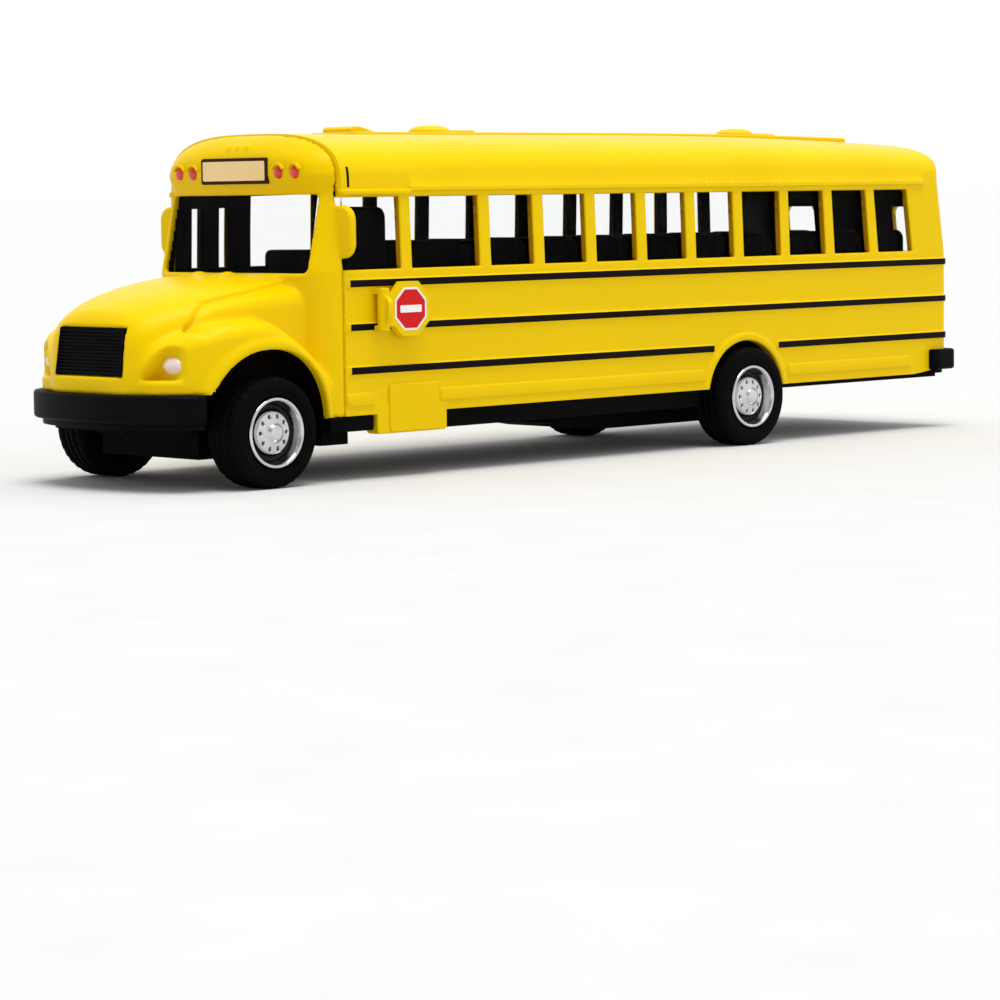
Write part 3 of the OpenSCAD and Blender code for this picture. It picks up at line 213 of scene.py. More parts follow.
# Painted shade and painted dark reflection: near-black metal for the hub's holes, dished ring and
# back
hub_painted_shade = metal("hub_recess_painted_shade", (0.012, 0.012, 0.013), (0.03, 0.03, 0.032), 0.25)
steel = metal("steel", (0.45, 0.45, 0.46), grey(0.58), 0.3)
clear = clear_plastic("clear_plastic")
lamp_white = lens_plastic("lamp_lens", (0.75, 0.62, 0.55), (0.92, 0.82, 0.76), 0.3)
lamp_red = lens_plastic("red_lens", (0.5, 0.008, 0.004), (0.75, 0.02, 0.008), 0.1)
print_red = enamel("sign_red", (0.55, 0.01, 0.012), (0.66, 0.02, 0.02), 0.35)
print_white = enamel("sign_white", (0.8, 0.79, 0.76), (0.9, 0.89, 0.87), 0.35)
print_cream = enamel("panel_cream", (0.83, 0.62, 0.3), (0.9, 0.72, 0.42), 0.35)
print_brown = enamel("panel_brown", (0.03, 0.008, 0.004), (0.05, 0.014, 0.006), 0.4)
gear_white = moulding("gear_plastic", (0.75, 0.74, 0.7), (0.86, 0.85, 0.81), 0.35)
motor_grey = moulding("motor_plastic", (0.2, 0.21, 0.22), (0.28, 0.29, 0.3), 0.45)


# Mesh helpers, all in millimetres

SHARP_ANGLE = radians(25)


def smooth(mesh):
    mesh.polygons.foreach_set("use_smooth", np.ones(len(mesh.polygons), dtype=bool))


def weighted_normals(obj):
    obj.modifiers.new("normals", "WEIGHTED_NORMAL").weight = 80


def welded(obj, distance):
    obj.modifiers.new("weld", "WELD").merge_threshold = distance * MM


def make_piece(name, verts, faces, materials, body, nodes=(), face_slots=None, weighted=True):
    """A mesh piece that rides on a body and stands for the given nodes."""
    mesh = bpy.data.meshes.new(name)
    mesh.from_pydata([tuple(v) for v in np.asarray(verts, dtype=float) * MM], [], faces)
    for material in materials:
        mesh.materials.append(material)
    if face_slots is not None:
        mesh.polygons.foreach_set("material_index", np.asarray(face_slots, dtype=np.int32))
    smooth(mesh)
    mesh.update()
    obj = link(bpy.data.objects.new(name, mesh))
    if weighted:
        weighted_normals(obj)
    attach(obj, body)
    if nodes:
        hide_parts(*nodes)
    return obj


def solid(name, part, material, body="bus", nodes=()):
    """A piece of one material from a pair of vertex and face lists."""
    return make_piece(name, part[0], part[1], [material], body, nodes)


def circle(steps):
    """Even angles round a circle."""
    return [2 * pi * i / steps for i in range(steps)]


def arc(centre, radius, angles):
    return [(centre[0] + radius * cos(a), centre[1] + radius * sin(a)) for a in angles]


def grid_faces(rows, cols, closed=False):
    """Quads over a grid of rows by columns, in row order."""
    faces = []
    for i in range(rows - 1):
        for j in range(cols if closed else cols - 1):
            k = (j + 1) % cols
            faces.append((i * cols + j, i * cols + k, (i + 1) * cols + k, (i + 1) * cols + j))
    return faces


def lists_of(bm):
    """Vertex and face lists of a finished mesh, which is then freed."""
    bm.verts.index_update()
    verts = [tuple(v.co) for v in bm.verts]
    faces = [tuple(v.index for v in f.verts) for f in bm.faces]
    bm.free()
    return verts, faces


def prism(outline, low, high, axis, edge):
    """A closed slab from an outline, with rounded edges, as vertices and faces.

    The outline's two coordinates are the ones left over by the axis, in order."""
    bm = bmesh.new()
    order = [a for a in range(3) if a != axis]
    loops = []
    for level in (low, high):
        loop = []
        for point in outline:
            place = [0.0, 0.0, 0.0]
            place[axis] = level
            place[order[0]], place[order[1]] = point
            loop.append(bm.verts.new(place))
        loops.append(loop)
    count = len(outline)
    bm.faces.new(loops[0])
    bm.faces.new(loops[1])
    for i in range(count):
        k = (i + 1) % count
        bm.faces.new((loops[0][i], loops[0][k], loops[1][k], loops[1][i]))
    bmesh.ops.recalc_face_normals(bm, faces=bm.faces)
    sharp = [e for e in bm.edges if e.calc_face_angle(0) > SHARP_ANGLE]
    bmesh.ops.bevel(bm, geom=sharp, offset=edge, segments=3, profile=0.5, affect="EDGES")
    return lists_of(bm)


def rounded_box(low, high, radius, steps=5):
    """Outline of a rectangle with round corners."""
    points = []
    corners = (
        (high[0] - radius, high[1] - radius, 0), (low[0] + radius, high[1] - radius, 90),
        (low[0] + radius, low[1] + radius, 180), (high[0] - radius, low[1] + radius, 270),
    )
    for cx, cy, start in corners:
        angles = [radians(start + 90 * i / steps) for i in range(steps + 1)]
        points += arc((cx, cy), radius, angles)
    return points


def plate(low, high, radius, depth, axis, edge, steps=5):
    """A slab with round corners; depth is its low and high place along the axis."""
    return prism(rounded_box(low, high, radius, steps), *depth, axis, edge)


def joined(parts):
    """Several vertex and face lists as one."""
    verts, faces = [], []
    for part_verts, part_faces in parts:
        base = len(verts)
        verts.extend(part_verts)
        faces.extend(tuple(i + base for i in f) for f in part_faces)
    return verts, faces


# Main casting: a grid round the left side, the rear and the right side, with plates raised on it

PLATE_EDGE = 0.24
EDGE_ROUND = (0.0, 0.1, 0.3)
FAR = 200.0

# Openings: the rows of windows, then the others as side, places along it and levels
WINDOW_FRONT_X, WINDOW_PITCH, WINDOW_W, WINDOW_COUNT = 29.4, 14.04, 11.2, 9
REAR_WINDOW_Y = (11.0, 19.0)
REAR_HEAD_Z = 46.8
OTHER_HOLES = (
    ("left", 32.3, 49.35, SILL_Z, HEAD_Z), ("left", 52.0, SEAM_X + 1, SILL_Z, HEAD_Z),
    ("right", 32.1, 47.8, SILL_Z, HEAD_Z),
    ("right", 53.28, 55.48, 17.8, 33.5), ("right", 53.28, 55.48, SILL_Z, 48.4),
    ("right", 59.88, 62.08, 17.8, 33.5), ("right", 59.88, 62.08, SILL_Z, 48.4),
    ("rear", *REAR_WINDOW_Y, SILL_Z, REAR_HEAD_Z),
    ("rear", -REAR_WINDOW_Y[1], -REAR_WINDOW_Y[0], SILL_Z, REAR_HEAD_Z),
)

# Ribs and the painted bands on them
RIB_SHOULDER, RIB_RISE, BAND_RISE = 0.78, RIB_OUT * 0.6, RIB_OUT * 0.4
BAND_REAR_X, BAND_ARCH_GAP, REAR_RIB_Y, THIRD_RIB_OVER = -104.9, 9.6, 9.0, 0.4
LOW_RIB_ENDS = ((-93.0, REAR_AXLE_X - 12.6), (REAR_AXLE_X + 12.6, 43.0))
LOW_RIB_HALF, LOW_RIB_RISE = 1.1, RIB_OUT * 0.8
# Front ends of the ribs, their bands and the third band, and one more length of low rib
RIB_FRONTS = {"left": (65.6, 65.0, 65.0, ((59.6, 65.6),)), "right": (50.9, 50.4, 41.0, ())}

# Gutters, step plates, lamp panels and ledges: side, places along it, levels and height
FLAT_PLATES = (
    ("left", -99.8, 49.35, 51.3, 52.3, 0.6), ("left", 49.35, FAR, 50.7, 51.6, 0.6),
    ("right", -99.8, 49.35, 51.3, 52.3, 0.6), ("right", 49.35, FAR, 50.7, 51.6, 0.6),
    ("right", 42.3, 45.9, 14.4, 18.6, 0.7), ("right", 45.9, 50.4, 17.4, 20.6, 0.7),
    ("right", 45.9, 50.4, 12.8, 15.6, 0.7),
    ("rear", -19.4, -11.4, 29.0, 32.0, -0.2), ("rear", 11.4, 19.4, 29.0, 32.0, -0.2),
    ("rear", -21.0, 21.0, 51.4, 51.9, -0.4), ("rear", -21.0, 21.0, 49.3, 49.8, -0.4),
)
# Grooves round the doors and panels: side, places along it, levels, width and depth
GROOVES = (
    ("right", 51.2, 65.3, 12.9, 50.2, 0.6, -0.45), ("rear", -8.7, 8.7, 20.4, 49.5, 0.6, -0.45),
    ("rear", -19.4, -11.4, 21.6, 25.6, 0.3, -0.2), ("rear", 11.4, 19.4, 21.6, 25.6, 0.3, -0.2),
    ("rear", -6.6, 6.6, 38.0, 46.4, 0.35, -0.2), ("rear", -6.6, 6.6, 29.4, 36.0, 0.35, -0.2),
    ("rear", -6.6, 6.6, 22.0, 27.6, 0.35, -0.2),
)

# Extra lines of the grid at the skirt and the rear arch, and its steps over the roof and corners
SKIRT_ROWS, ARCH_RINGS, ARCH_STEP = (0.1, 0.3, 0.7, 1.2, 1.7), (0.3, 0.8, 1.4), 6
ROOF_STEPS, CORNER_STEPS = 20, 7

# Fall of the roof, rise of the skirt's tail, and where the columns begin to follow the rear wall
DROP, DROP_XS = 2.0, (-105.0, -20.0)
TAIL_RISE, TAIL_XS, TAIL_ZS = 0.75, (-101.0, -95.0), (SKIRT_Z, 14.0)
STRETCH_X, FLAT_SHARE = REAR_AXLE_X - 14, 0.955
# Rear arch: top level of the bent rows by place, and the lip's height by distance
BEND_DX, BEND_ZS = (7.0, 8.6), (23.2, 18.7)
LIP_AWAY, LIP_OUT, LIP_TOP_Z = (0.04, 0.25, 1.2, 1.7), (0.105, 0.35, 0.35, 0), 24

# Material slots of the casting; the inside and reveal slots carry painted shade
PAINT, BAND, INSIDE_SHADE, REVEAL_SHADE = range(4)


def window_holes():
    """Openings as side, low and high place along it, low and high level."""
    holes = list(OTHER_HOLES)
    for side in ("left", "right"):
        for i in range(WINDOW_COUNT):
            front = WINDOW_FRONT_X - i * WINDOW_PITCH
            holes.append((side, front - WINDOW_W, front, SILL_Z, HEAD_Z))
    return holes


def outline_grooves(side, u0, u1, z0, z1, width, depth):
    """Four thin grooves round a rectangle."""
    h = width / 2
    spans = [(u - h, u + h, z0 - h, z1 + h) for u in (u0, u1)]
    spans += [(u0 - h, u1 + h, z - h, z + h) for z in (z0, z1)]
    return [(side, *span, depth, False) for span in spans]


def body_plates():
    """Raised or sunk plates: side, place along it, levels, height, and whether painted black."""
    plates = [(*plate, False) for plate in FLAT_PLATES]
    for groove in GROOVES:
        plates += outline_grooves(*groove)

    def rib(side, u0, u1, z, half=RIB_SHOULDER, rise=RIB_RISE, painted=False):
        plates.append((side, u0, u1, z - half, z + half, rise, painted))

    for side, (rib_front, band_front, third_front, low_front) in RIB_FRONTS.items():
        for z in RIB_ZS[:2]:
            rib(side, -FAR, rib_front, z)
            rib(side, BAND_REAR_X, band_front, z, RIB_HALF, BAND_RISE, True)
        behind = (-FAR, REAR_AXLE_X - BAND_ARCH_GAP)
        ahead = (REAR_AXLE_X + BAND_ARCH_GAP, third_front)
        for u0, u1 in (behind, ahead):
            rib(side, u0, u1 + THIRD_RIB_OVER, RIB_ZS[2])
            rib(side, max(u0, BAND_REAR_X), u1, RIB_ZS[2], RIB_HALF, BAND_RISE, True)
        for u0, u1 in LOW_RIB_ENDS + low_front:
            rib(side, u0, u1, LOW_RIB_Z, LOW_RIB_HALF, LOW_RIB_RISE)
    for z in RIB_ZS[:2]:
        rib("rear", -FAR, -REAR_RIB_Y, z)
        rib("rear", REAR_RIB_Y, FAR, z)
    return plates


def filled(lines, gap, near):
    """Sorted lines without near doubles, with wide gaps divided."""
    lines = sorted(lines)
    kept = [lines[0]]
    for value in lines[1:]:
        if value - kept[-1] > near:
            kept.append(value)
    result = []
    for a, b in zip(kept, kept[1:]):
        steps = max(1, ceil((b - a) / gap))
        result.extend(a + (b - a) * i / steps for i in range(steps))
    result.append(kept[-1])
    return result


def body_lines(holes, plates):
    """Grid lines along each side and the rear, and levels up the wall."""
    side_range = (REAR_X + BODY_HW - REAR_FLAT_HW, SEAM_X)
    ranges = {"left": side_range, "right": side_range, "rear": (-REAR_FLAT_HW, REAR_FLAT_HW)}
    along = {side: list(ends) for side, ends in ranges.items()}
    levels = [SKIRT_Z, EAVE_Z] + [SKIRT_Z + d for d in SKIRT_ROWS]
    for side, u0, u1, z0, z1 in holes:
        for lines, low, high in ((along[side], u0, u1), (levels, z0, z1)):
            lines += [low - d for d in EDGE_ROUND] + [high + d for d in EDGE_ROUND]
    for side, u0, u1, z0, z1, _, _ in plates:
        for lines, *ends in ((along[side], u0, u1), (levels, z0, z1)):
            lines += [v + s * PLATE_EDGE / 2 for v in ends for s in (-1, 1)]
    arch = [REAR_ARCH_R * cos(radians(a)) for a in range(0, 181, ARCH_STEP)]
    arch += [s * (REAR_ARCH_R + d) for s in (-1, 1) for d in ARCH_RINGS]
    for side in ("left", "right"):
        along[side] += [REAR_AXLE_X + dx for dx in arch]
    columns = {}
    for side, (low, high) in ranges.items():
        inside = [v for v in along[side] if low <= v <= high]
        columns[side] = filled(inside, gap=5.0, near=0.06)
    levels = [z for z in levels if SKIRT_Z <= z <= EAVE_Z]
    return columns, filled(levels, gap=2.2, near=0.05)


def half_width(z):
    lean = np.clip((z - BELT_Z) / (EAVE_Z - BELT_Z), 0, 1)
    return BODY_HW + (EAVE_HW - BODY_HW) * lean


def body_rings(levels):
    """Half width, rear place and level of each ring from the skirt to the crown."""
    rings = []
    for z in levels:
        rear = REAR_X + REAR_LEAN * max(0.0, (z - BELT_Z) / (EAVE_Z - BELT_Z))
        rings.append((half_width(z), rear, z))
    for i in range(1, ROOF_STEPS + 1):
        a = radians(90 * i / ROOF_STEPS)
        z = EAVE_Z + ROOF_RISE * sin(a) ** (2 / ROOF_POWER)
        hw = EAVE_HW * max(cos(a), 0) ** (2 / ROOF_POWER)
        over = max(0.0, z - (ROOF_Z - ROOF_REAR_R))
        corner = sqrt(max(ROOF_REAR_R ** 2 - over ** 2, 0))
        rings.append((hw, REAR_X + REAR_LEAN + ROOF_REAR_R - corner, z))
    return rings


def roof_drop(x, z):
    """How far the roof falls towards the rear."""
    return DROP * np.interp(x, DROP_XS, (1, 0)) ** 2 * np.interp(z, (EAVE_Z, ROOF_Z), (0, 1))


def body_grid(columns, rings):
    """Base points, places along the wall and side names of the grid."""
    bends = range(1, CORNER_STEPS)
    plan = [("left", x) for x in reversed(columns["left"])]
    plan += [("left corner", i / CORNER_STEPS) for i in bends]
    plan += [("rear", y) for y in reversed(columns["rear"])]
    plan += [("right corner", 1 - i / CORNER_STEPS) for i in bends]
    plan += [("right", x) for x in columns["right"]]
    base = np.zeros((len(rings), len(plan), 3))
    place = np.zeros((len(rings), len(plan)))
    kind = np.array([p[0].split()[0] for p in plan])
    depth = BODY_HW - REAR_FLAT_HW
    side_low = REAR_X + depth
    for i, (hw, rear, z) in enumerate(rings):
        flat = min(REAR_FLAT_HW, hw * FLAT_SHARE)
        for j, (side, u) in enumerate(plan):
            s = 1 if side.startswith("left") else -1
            place[i, j] = u
            if side == "rear":
                base[i, j] = (rear, u * flat / REAR_FLAT_HW, z)
            elif side.endswith("corner"):
                a = radians(90 * u)
                y = flat + (hw - flat) * cos(a)
                base[i, j] = (rear + depth - depth * sin(a), s * y, z)
                place[i, j] = side_low - depth * a
            else:
                x = u
                if u < STRETCH_X:
                    reach = STRETCH_X - rear - depth
                    x = STRETCH_X - (STRETCH_X - u) * reach / (STRETCH_X - side_low)
                base[i, j] = (x, s * hw, z)
    base[:, :, 2] -= roof_drop(base[:, :, 0], base[:, :, 2])
    tail = np.interp(base[:, :, 0], TAIL_XS, (1, 0)) * np.interp(base[:, :, 2], TAIL_ZS, (1, 0))
    base[:, :, 2] += TAIL_RISE * tail
    return base, place, kind


def bend_round_arch(base, kind, rings_on_wall):
    """Draw the low rows of the side columns up round the rear wheel arch."""
    for j in np.nonzero(kind != "rear")[0]:
        dx = abs(base[0, j, 0] - REAR_AXLE_X)
        if dx >= REAR_ARCH_R:
            continue
        foot = max(SKIRT_Z, AXLE_Z + sqrt(REAR_ARCH_R ** 2 - dx ** 2))
        top = float(np.interp(dx, BEND_DX, BEND_ZS))
        for i in range(rings_on_wall):
            z = base[i, j, 2]
            if z < top:
                base[i, j, 2] = foot + (z - SKIRT_Z) / (top - SKIRT_Z) * (top - foot)


def ramp(t):
    return np.clip(0.5 + t / PLATE_EDGE, 0, 1)


def body_casting():
    """Vertices, faces and material slots of the main casting."""
    holes = window_holes()
    plates = body_plates()
    columns, levels = body_lines(holes, plates)
    base, place, kind = body_grid(columns, body_rings(levels))
    bend_round_arch(base, kind, len(levels))
    level = base[:, :, 2]
    normal = np.cross(np.gradient(base, axis=1), np.gradient(base, axis=0))
    normal /= np.maximum(np.linalg.norm(normal, axis=2, keepdims=True), 1e-9)
    normal[-1] = (0, 0, 1)
    lift = np.zeros(place.shape)
    for side, u0, u1, z0, z1, height, _ in plates:
        on = ramp(place - u0) * ramp(u1 - place) * ramp(level - z0) * ramp(z1 - level)
        lift += height * on * (kind == side)[None, :]
    radius = EDGE_ROUND[-1]
    for side, u0, u1, z0, z1 in holes:
        du = np.maximum(np.maximum(u0 - place, place - u1), 0)
        dz = np.maximum(np.maximum(z0 - level, level - z1), 0)
        near = np.clip(radius - np.hypot(du, dz), 0, radius)
        lift -= (radius - np.sqrt(radius ** 2 - near ** 2)) * (kind == side)[None, :]
    ring = np.hypot(base[:, :, 0] - REAR_AXLE_X, level - AXLE_Z) - REAR_ARCH_R
    lip = np.interp(ring, LIP_AWAY, LIP_OUT)
    lift += lip * (kind != "rear")[None, :] * (level < LIP_TOP_Z)
    outer = base + normal * lift[:, :, None]
    inner = base - normal * WALL
    inner[:, :, 2] = np.maximum(inner[:, :, 2], SKIRT_Z)
    return build_shell(outer, inner, place, level, kind, holes, plates)


def build_shell(outer, inner, place, level, kind, holes, plates):
    """Outer skin, inner skin and the edges between them, with the openings left out."""
    rows, cols = place.shape
    mid_place = (place[:-1, :-1] + place[1:, 1:]) / 2
    mid_level = (level[:-1, :-1] + level[1:, 1:]) / 2
    cell_kind = np.where(kind[:-1] == kind[1:], kind[:-1], "corner")

    def cells(side, u0, u1, z0, z1):
        inside = (mid_place > u0) & (mid_place < u1) & (mid_level > z0) & (mid_level < z1)
        return inside & (cell_kind == side)[None, :]

    keep = np.ones((rows - 1, cols - 1), dtype=bool)
    black_cell = np.zeros_like(keep)
    for hole in holes:
        keep &= ~cells(*hole)
    for *span, _, painted in plates:
        if painted:
            black_cell |= cells(*span)
    count = rows * cols
    verts = np.concatenate([outer.reshape(-1, 3), inner.reshape(-1, 3)])
    faces, slots = [], []
    for i, j in np.argwhere(keep).tolist():
        a, b = i * cols + j, i * cols + j + 1
        c, d = b + cols, a + cols
        faces.append((a, b, c, d))
        slots.append(BAND if black_cell[i, j] else PAINT)
        # The inner skin is painted shade
        faces.append((a + count, d + count, c + count, b + count))
        slots.append(INSIDE_SHADE)
        # Edges of the openings get painted shade: darker orange on most, near-black on one upright
        # edge of each
        neighbours = (
            (i > 0 and keep[i - 1, j], a, b, REVEAL_SHADE),
            (j + 1 < cols - 1 and keep[i, j + 1], b, c, INSIDE_SHADE),
            (i + 1 < rows - 1 and keep[i + 1, j], c, d, REVEAL_SHADE),
            (j > 0 and keep[i, j - 1], d, a, REVEAL_SHADE),
        )
        for kept, p, q, shade in neighbours:
            crown = p >= (rows - 1) * cols and q >= (rows - 1) * cols
            if not kept and not crown:
                faces.append((q, p, p + count, q + count))
                seam = abs(verts[p, 0] - SEAM_X) + abs(verts[q, 0] - SEAM_X) < 0.1
                slots.append(PAINT if seam else shade)
    return verts, faces, slots


body_verts, body_faces, body_slots = body_casting()
body = make_piece(
    "main_casting", body_verts, body_faces, [yellow, band_black, inside_painted_shade, shade_yellow],
    "bus", ["body_shell"], body_slots, weighted=False,
)
welded(body, distance=0.004)
weighted_normals(body)


# Front casting: smooth fields joined and cut, then skinned on a fine grid

NOSE_X = 104.6
NOSE_Z = 16.9
COWL_X = 72.0
CAB_ZS, CAB_XS = (0, 37.3, 51.2, 54.2, 80), (72.3, 72.3, 69.3, 70.5, 70.5)
CAB_BOW, CAB_BOW_POWER = 1.3, 2.5
# Crest and half width of the bonnet at the nose and at the cowl
BONNET_ZS, BONNET_HWS = (28.2, 37.2), (9.8, 19.4)
BONNET_DEPTH, BONNET_POWER = 6.0, 1.8
WING_X, WING_Y, WING_Z = 88.6, 9.2, 20.0
FLARE_OUT, FLARE_AWAY, FLARE_YS = 0.45, (1.2, 2.4), (19, 20)
WELL_Y = 15.8
FOOT_XS = (72.0, 78.0)
SCREEN_MIDDLE_Z, SCREEN_HALF_H = (SILL_Z + HEAD_Z) / 2, (HEAD_Z - SILL_Z) / 2 + 0.5
# Foot, run and length of the slanting wall between the lamp pocket and the grille
SLANT_FOOT, SLANT_RUN, SLANT_LENGTH = (12.4, 19.5), (4.2, 5.7), 7.08
# Half width of the grille at its foot, its foot and top levels and its depth
GRILLE = (9.4, 19.9, 28.4, 103.5)
GRILLE_LEAN, GRILLE_TAPER, NOSE_LEAN_H = 0.14, 0.03, 12
# Groove between the bonnet and the wing
HOOD_LINE = ((95.6, 27.4), (93.7, 29.2), (92.5, 30.7), (90.8, 31.9), (86.0, 32.9), (72.4, 35.0))
HOOD_W, HOOD_DEPTH, HOOD_YS = 0.55, 0.7, (12, 13.5)
# Washer jets and roof markers: place, stretch along the bus, radius and fillet
MARKER_YS = (-2.4, 0.0, 2.4)
KNOBS = [((75.2, y, 36.8), 3.2, 0.55, 0.3) for y in (-4.8, 3.1)]
KNOBS += [((68.9, y, 59.2), 1, 0.85, 0.4) for y in MARKER_YS]
SEAM_GAP = 0.05
# Margins of the faces painted dark as shade in the cab and in the wheel wells
CAB_MARGIN, SKIRT_MARGIN, WELL_MARGIN, WELL_RIM_Y = 0.25, 0.5, 0.4, 23.2


def round_meet(a, b, radius):
    """Intersection of two fields with a round edge."""
    length = np.hypot(np.maximum(a + radius, 0), np.maximum(b + radius, 0))
    return np.minimum(-radius, np.maximum(a, b)) + length


def round_cut(a, b, radius):
    return round_meet(a, -b, radius)


def smooth_join(a, b, reach):
    """Union of two fields with a hollow fillet."""
    h = np.clip(0.5 + 0.5 * (b - a) / reach, 0, 1)
    return b + (a - b) * h - reach * h * (1 - h)


def super_field(u, v, a, b, power):
    """Distance-like field of a superellipse quarter."""
    u = np.maximum(u, 1e-4) / a
    v = np.maximum(v, 1e-4) / b
    f = (u ** power + v ** power) ** (1 / power)
    slope = f ** (1 - power) * np.hypot(u ** (power - 1) / a, v ** (power - 1) / b)
    return (f - 1) / np.maximum(slope, 0.02)


def slab_field(u, v, w, middle, half, corner, edge):
    """A plate with round corners in u, v and thickness along w."""
    du, dv = [np.abs(p - m) - h + corner for p, m, h in zip((u, v), middle, half)]
    outside = np.hypot(np.maximum(du, 0), np.maximum(dv, 0))
    flat = outside + np.minimum(np.maximum(du, dv), 0) - corner
    return round_meet(flat, np.abs(w - middle[2]) - half[2], edge)


def line_distance(x, z, points):
    best = np.full(x.shape, 1e3)
    for (x0, z0), (x1, z1) in zip(points, points[1:]):
        dx, dz = x1 - x0, z1 - z0
        t = np.clip(((x - x0) * dx + (z - z0) * dz) / (dx * dx + dz * dz), 0, 1)
        best = np.minimum(best, np.hypot(x - x0 - t * dx, z - z0 - t * dz))
    return best


def cab_field(x, ay, z):
    roof = super_field(ay, z - EAVE_Z, EAVE_HW, ROOF_RISE, ROOF_POWER)
    section = np.where(z < EAVE_Z, ay - half_width(z), roof)
    bow = CAB_BOW * (ay / BODY_HW) ** CAB_BOW_POWER
    return round_meet(x - np.interp(z, CAB_ZS, CAB_XS) + bow, section, radius=6.0)


def bonnet_field(x, ay, z):
    t = np.clip((x - COWL_X) / (NOSE_X - COWL_X), 0, 0.9995)
    rise = (1 - t ** BONNET_POWER) ** (1 / BONNET_POWER)
    crest, half = [np.interp(rise, (0, 1), ends) for ends in (BONNET_ZS, BONNET_HWS)]
    section = super_field(ay, z - crest + BONNET_DEPTH, half, BONNET_DEPTH, power=2.4)
    face = NOSE_X - GRILLE_LEAN * np.clip(z - GRILLE[1], 0, NOSE_LEAN_H)
    return round_meet(section, x - face, radius=1.6)


def wing_field(x, ay, z):
    ahead = super_field(x - FRONT_AXLE_X, z - WING_Z, a=21.1, b=9.2, power=2.25)
    behind = super_field(FRONT_AXLE_X - x, z - NOSE_Z, a=15.2, b=12.3, power=1.3)
    profile = np.where(x > FRONT_AXLE_X, ahead, behind)
    plan = super_field(x - WING_X, ay - WING_Y, a=15.7, b=15.0, power=1.9)
    return round_meet(profile, plan, radius=2.6)


def arch_field(x, z):
    height = FRONT_ARCH_Z - AXLE_Z
    return super_field(np.abs(x - FRONT_AXLE_X), z - AXLE_Z, FRONT_ARCH_HW, height, power=2.3)


def pocket_field(x, ay, z):
    pocket = slab_field(
        ay, z, x, middle=(16.0, 22.2, 102.5), half=(4.4, 2.8, 3.4), corner=1.0, edge=0.8
    )
    slant = (ay - SLANT_FOOT[0]) * SLANT_RUN[1] - (z - SLANT_FOOT[1]) * SLANT_RUN[0]
    return round_meet(pocket, -slant / SLANT_LENGTH, radius=0.8)


def grille_field(x, ay, z):
    half, low, high, back = GRILLE
    up = z - low
    grille = np.maximum(ay - half + GRILLE_TAPER * up, np.maximum(-up, z - high))
    return np.maximum(grille, back - GRILLE_LEAN * up - x)


def knob_field(x, y, z, place, stretch, radius):
    along = ((x - place[0]) / stretch) ** 2
    return np.sqrt(along + (y - place[1]) ** 2 + (z - place[2]) ** 2) - radius


def front_field(x, y, z):
    """The front casting, negative inside."""
    ay = np.abs(y)
    cab = cab_field(x, ay, z)
    arch = arch_field(x, z)
    flare = np.interp(arch, FLARE_AWAY, (FLARE_OUT, 0)) * np.interp(ay, FLARE_YS, (0, 1))
    wing = wing_field(x, ay, z) - flare
    base = smooth_join(bonnet_field(x, ay, z), wing, reach=1.3)
    base = round_cut(base, pocket_field(x, ay, z), radius=0.6)
    groove = np.exp(-(line_distance(x, z, HOOD_LINE) / HOOD_W) ** 2)
    base = base + groove * np.interp(ay, HOOD_YS, (0, HOOD_DEPTH))
    base = np.maximum(base, np.interp(x, FOOT_XS, (SKIRT_Z, NOSE_Z)) - z)
    whole = smooth_join(np.maximum(cab, SKIRT_Z - z), base, reach=0.9)
    whole = round_cut(whole, np.maximum(arch, WELL_Y - ay), radius=0.45)
    whole = np.maximum(whole, -(cab + WALL))
    screen = slab_field(
        ay, z, x, middle=(0, SCREEN_MIDDLE_Z, 76), half=(20.0, SCREEN_HALF_H, 10),
        corner=0.9, edge=0.1,
    )
    whole = round_cut(whole, screen, radius=0.4)
    whole = round_cut(whole, grille_field(x, ay, z), radius=0.3)
    step = slab_field(
        x, z, y, middle=(63.8, 8.6, -22.7), half=(4.2, 4.4, 1.5), corner=0.6, edge=0.4
    )
    whole = np.minimum(whole, step)
    for place, stretch, radius, fillet in KNOBS:
        whole = smooth_join(whole, knob_field(x, y, z, place, stretch, radius), fillet)
    whole = round_meet(whole, SEAM_X + SEAM_GAP - x, radius=0.25)
    mirror = slab_field(
        ay, z, x, middle=(23.7, 44.25, 65.7), half=(2.9, 4.65, 0.8), corner=2.6, edge=0.45
    )
    return np.minimum(whole, mirror)


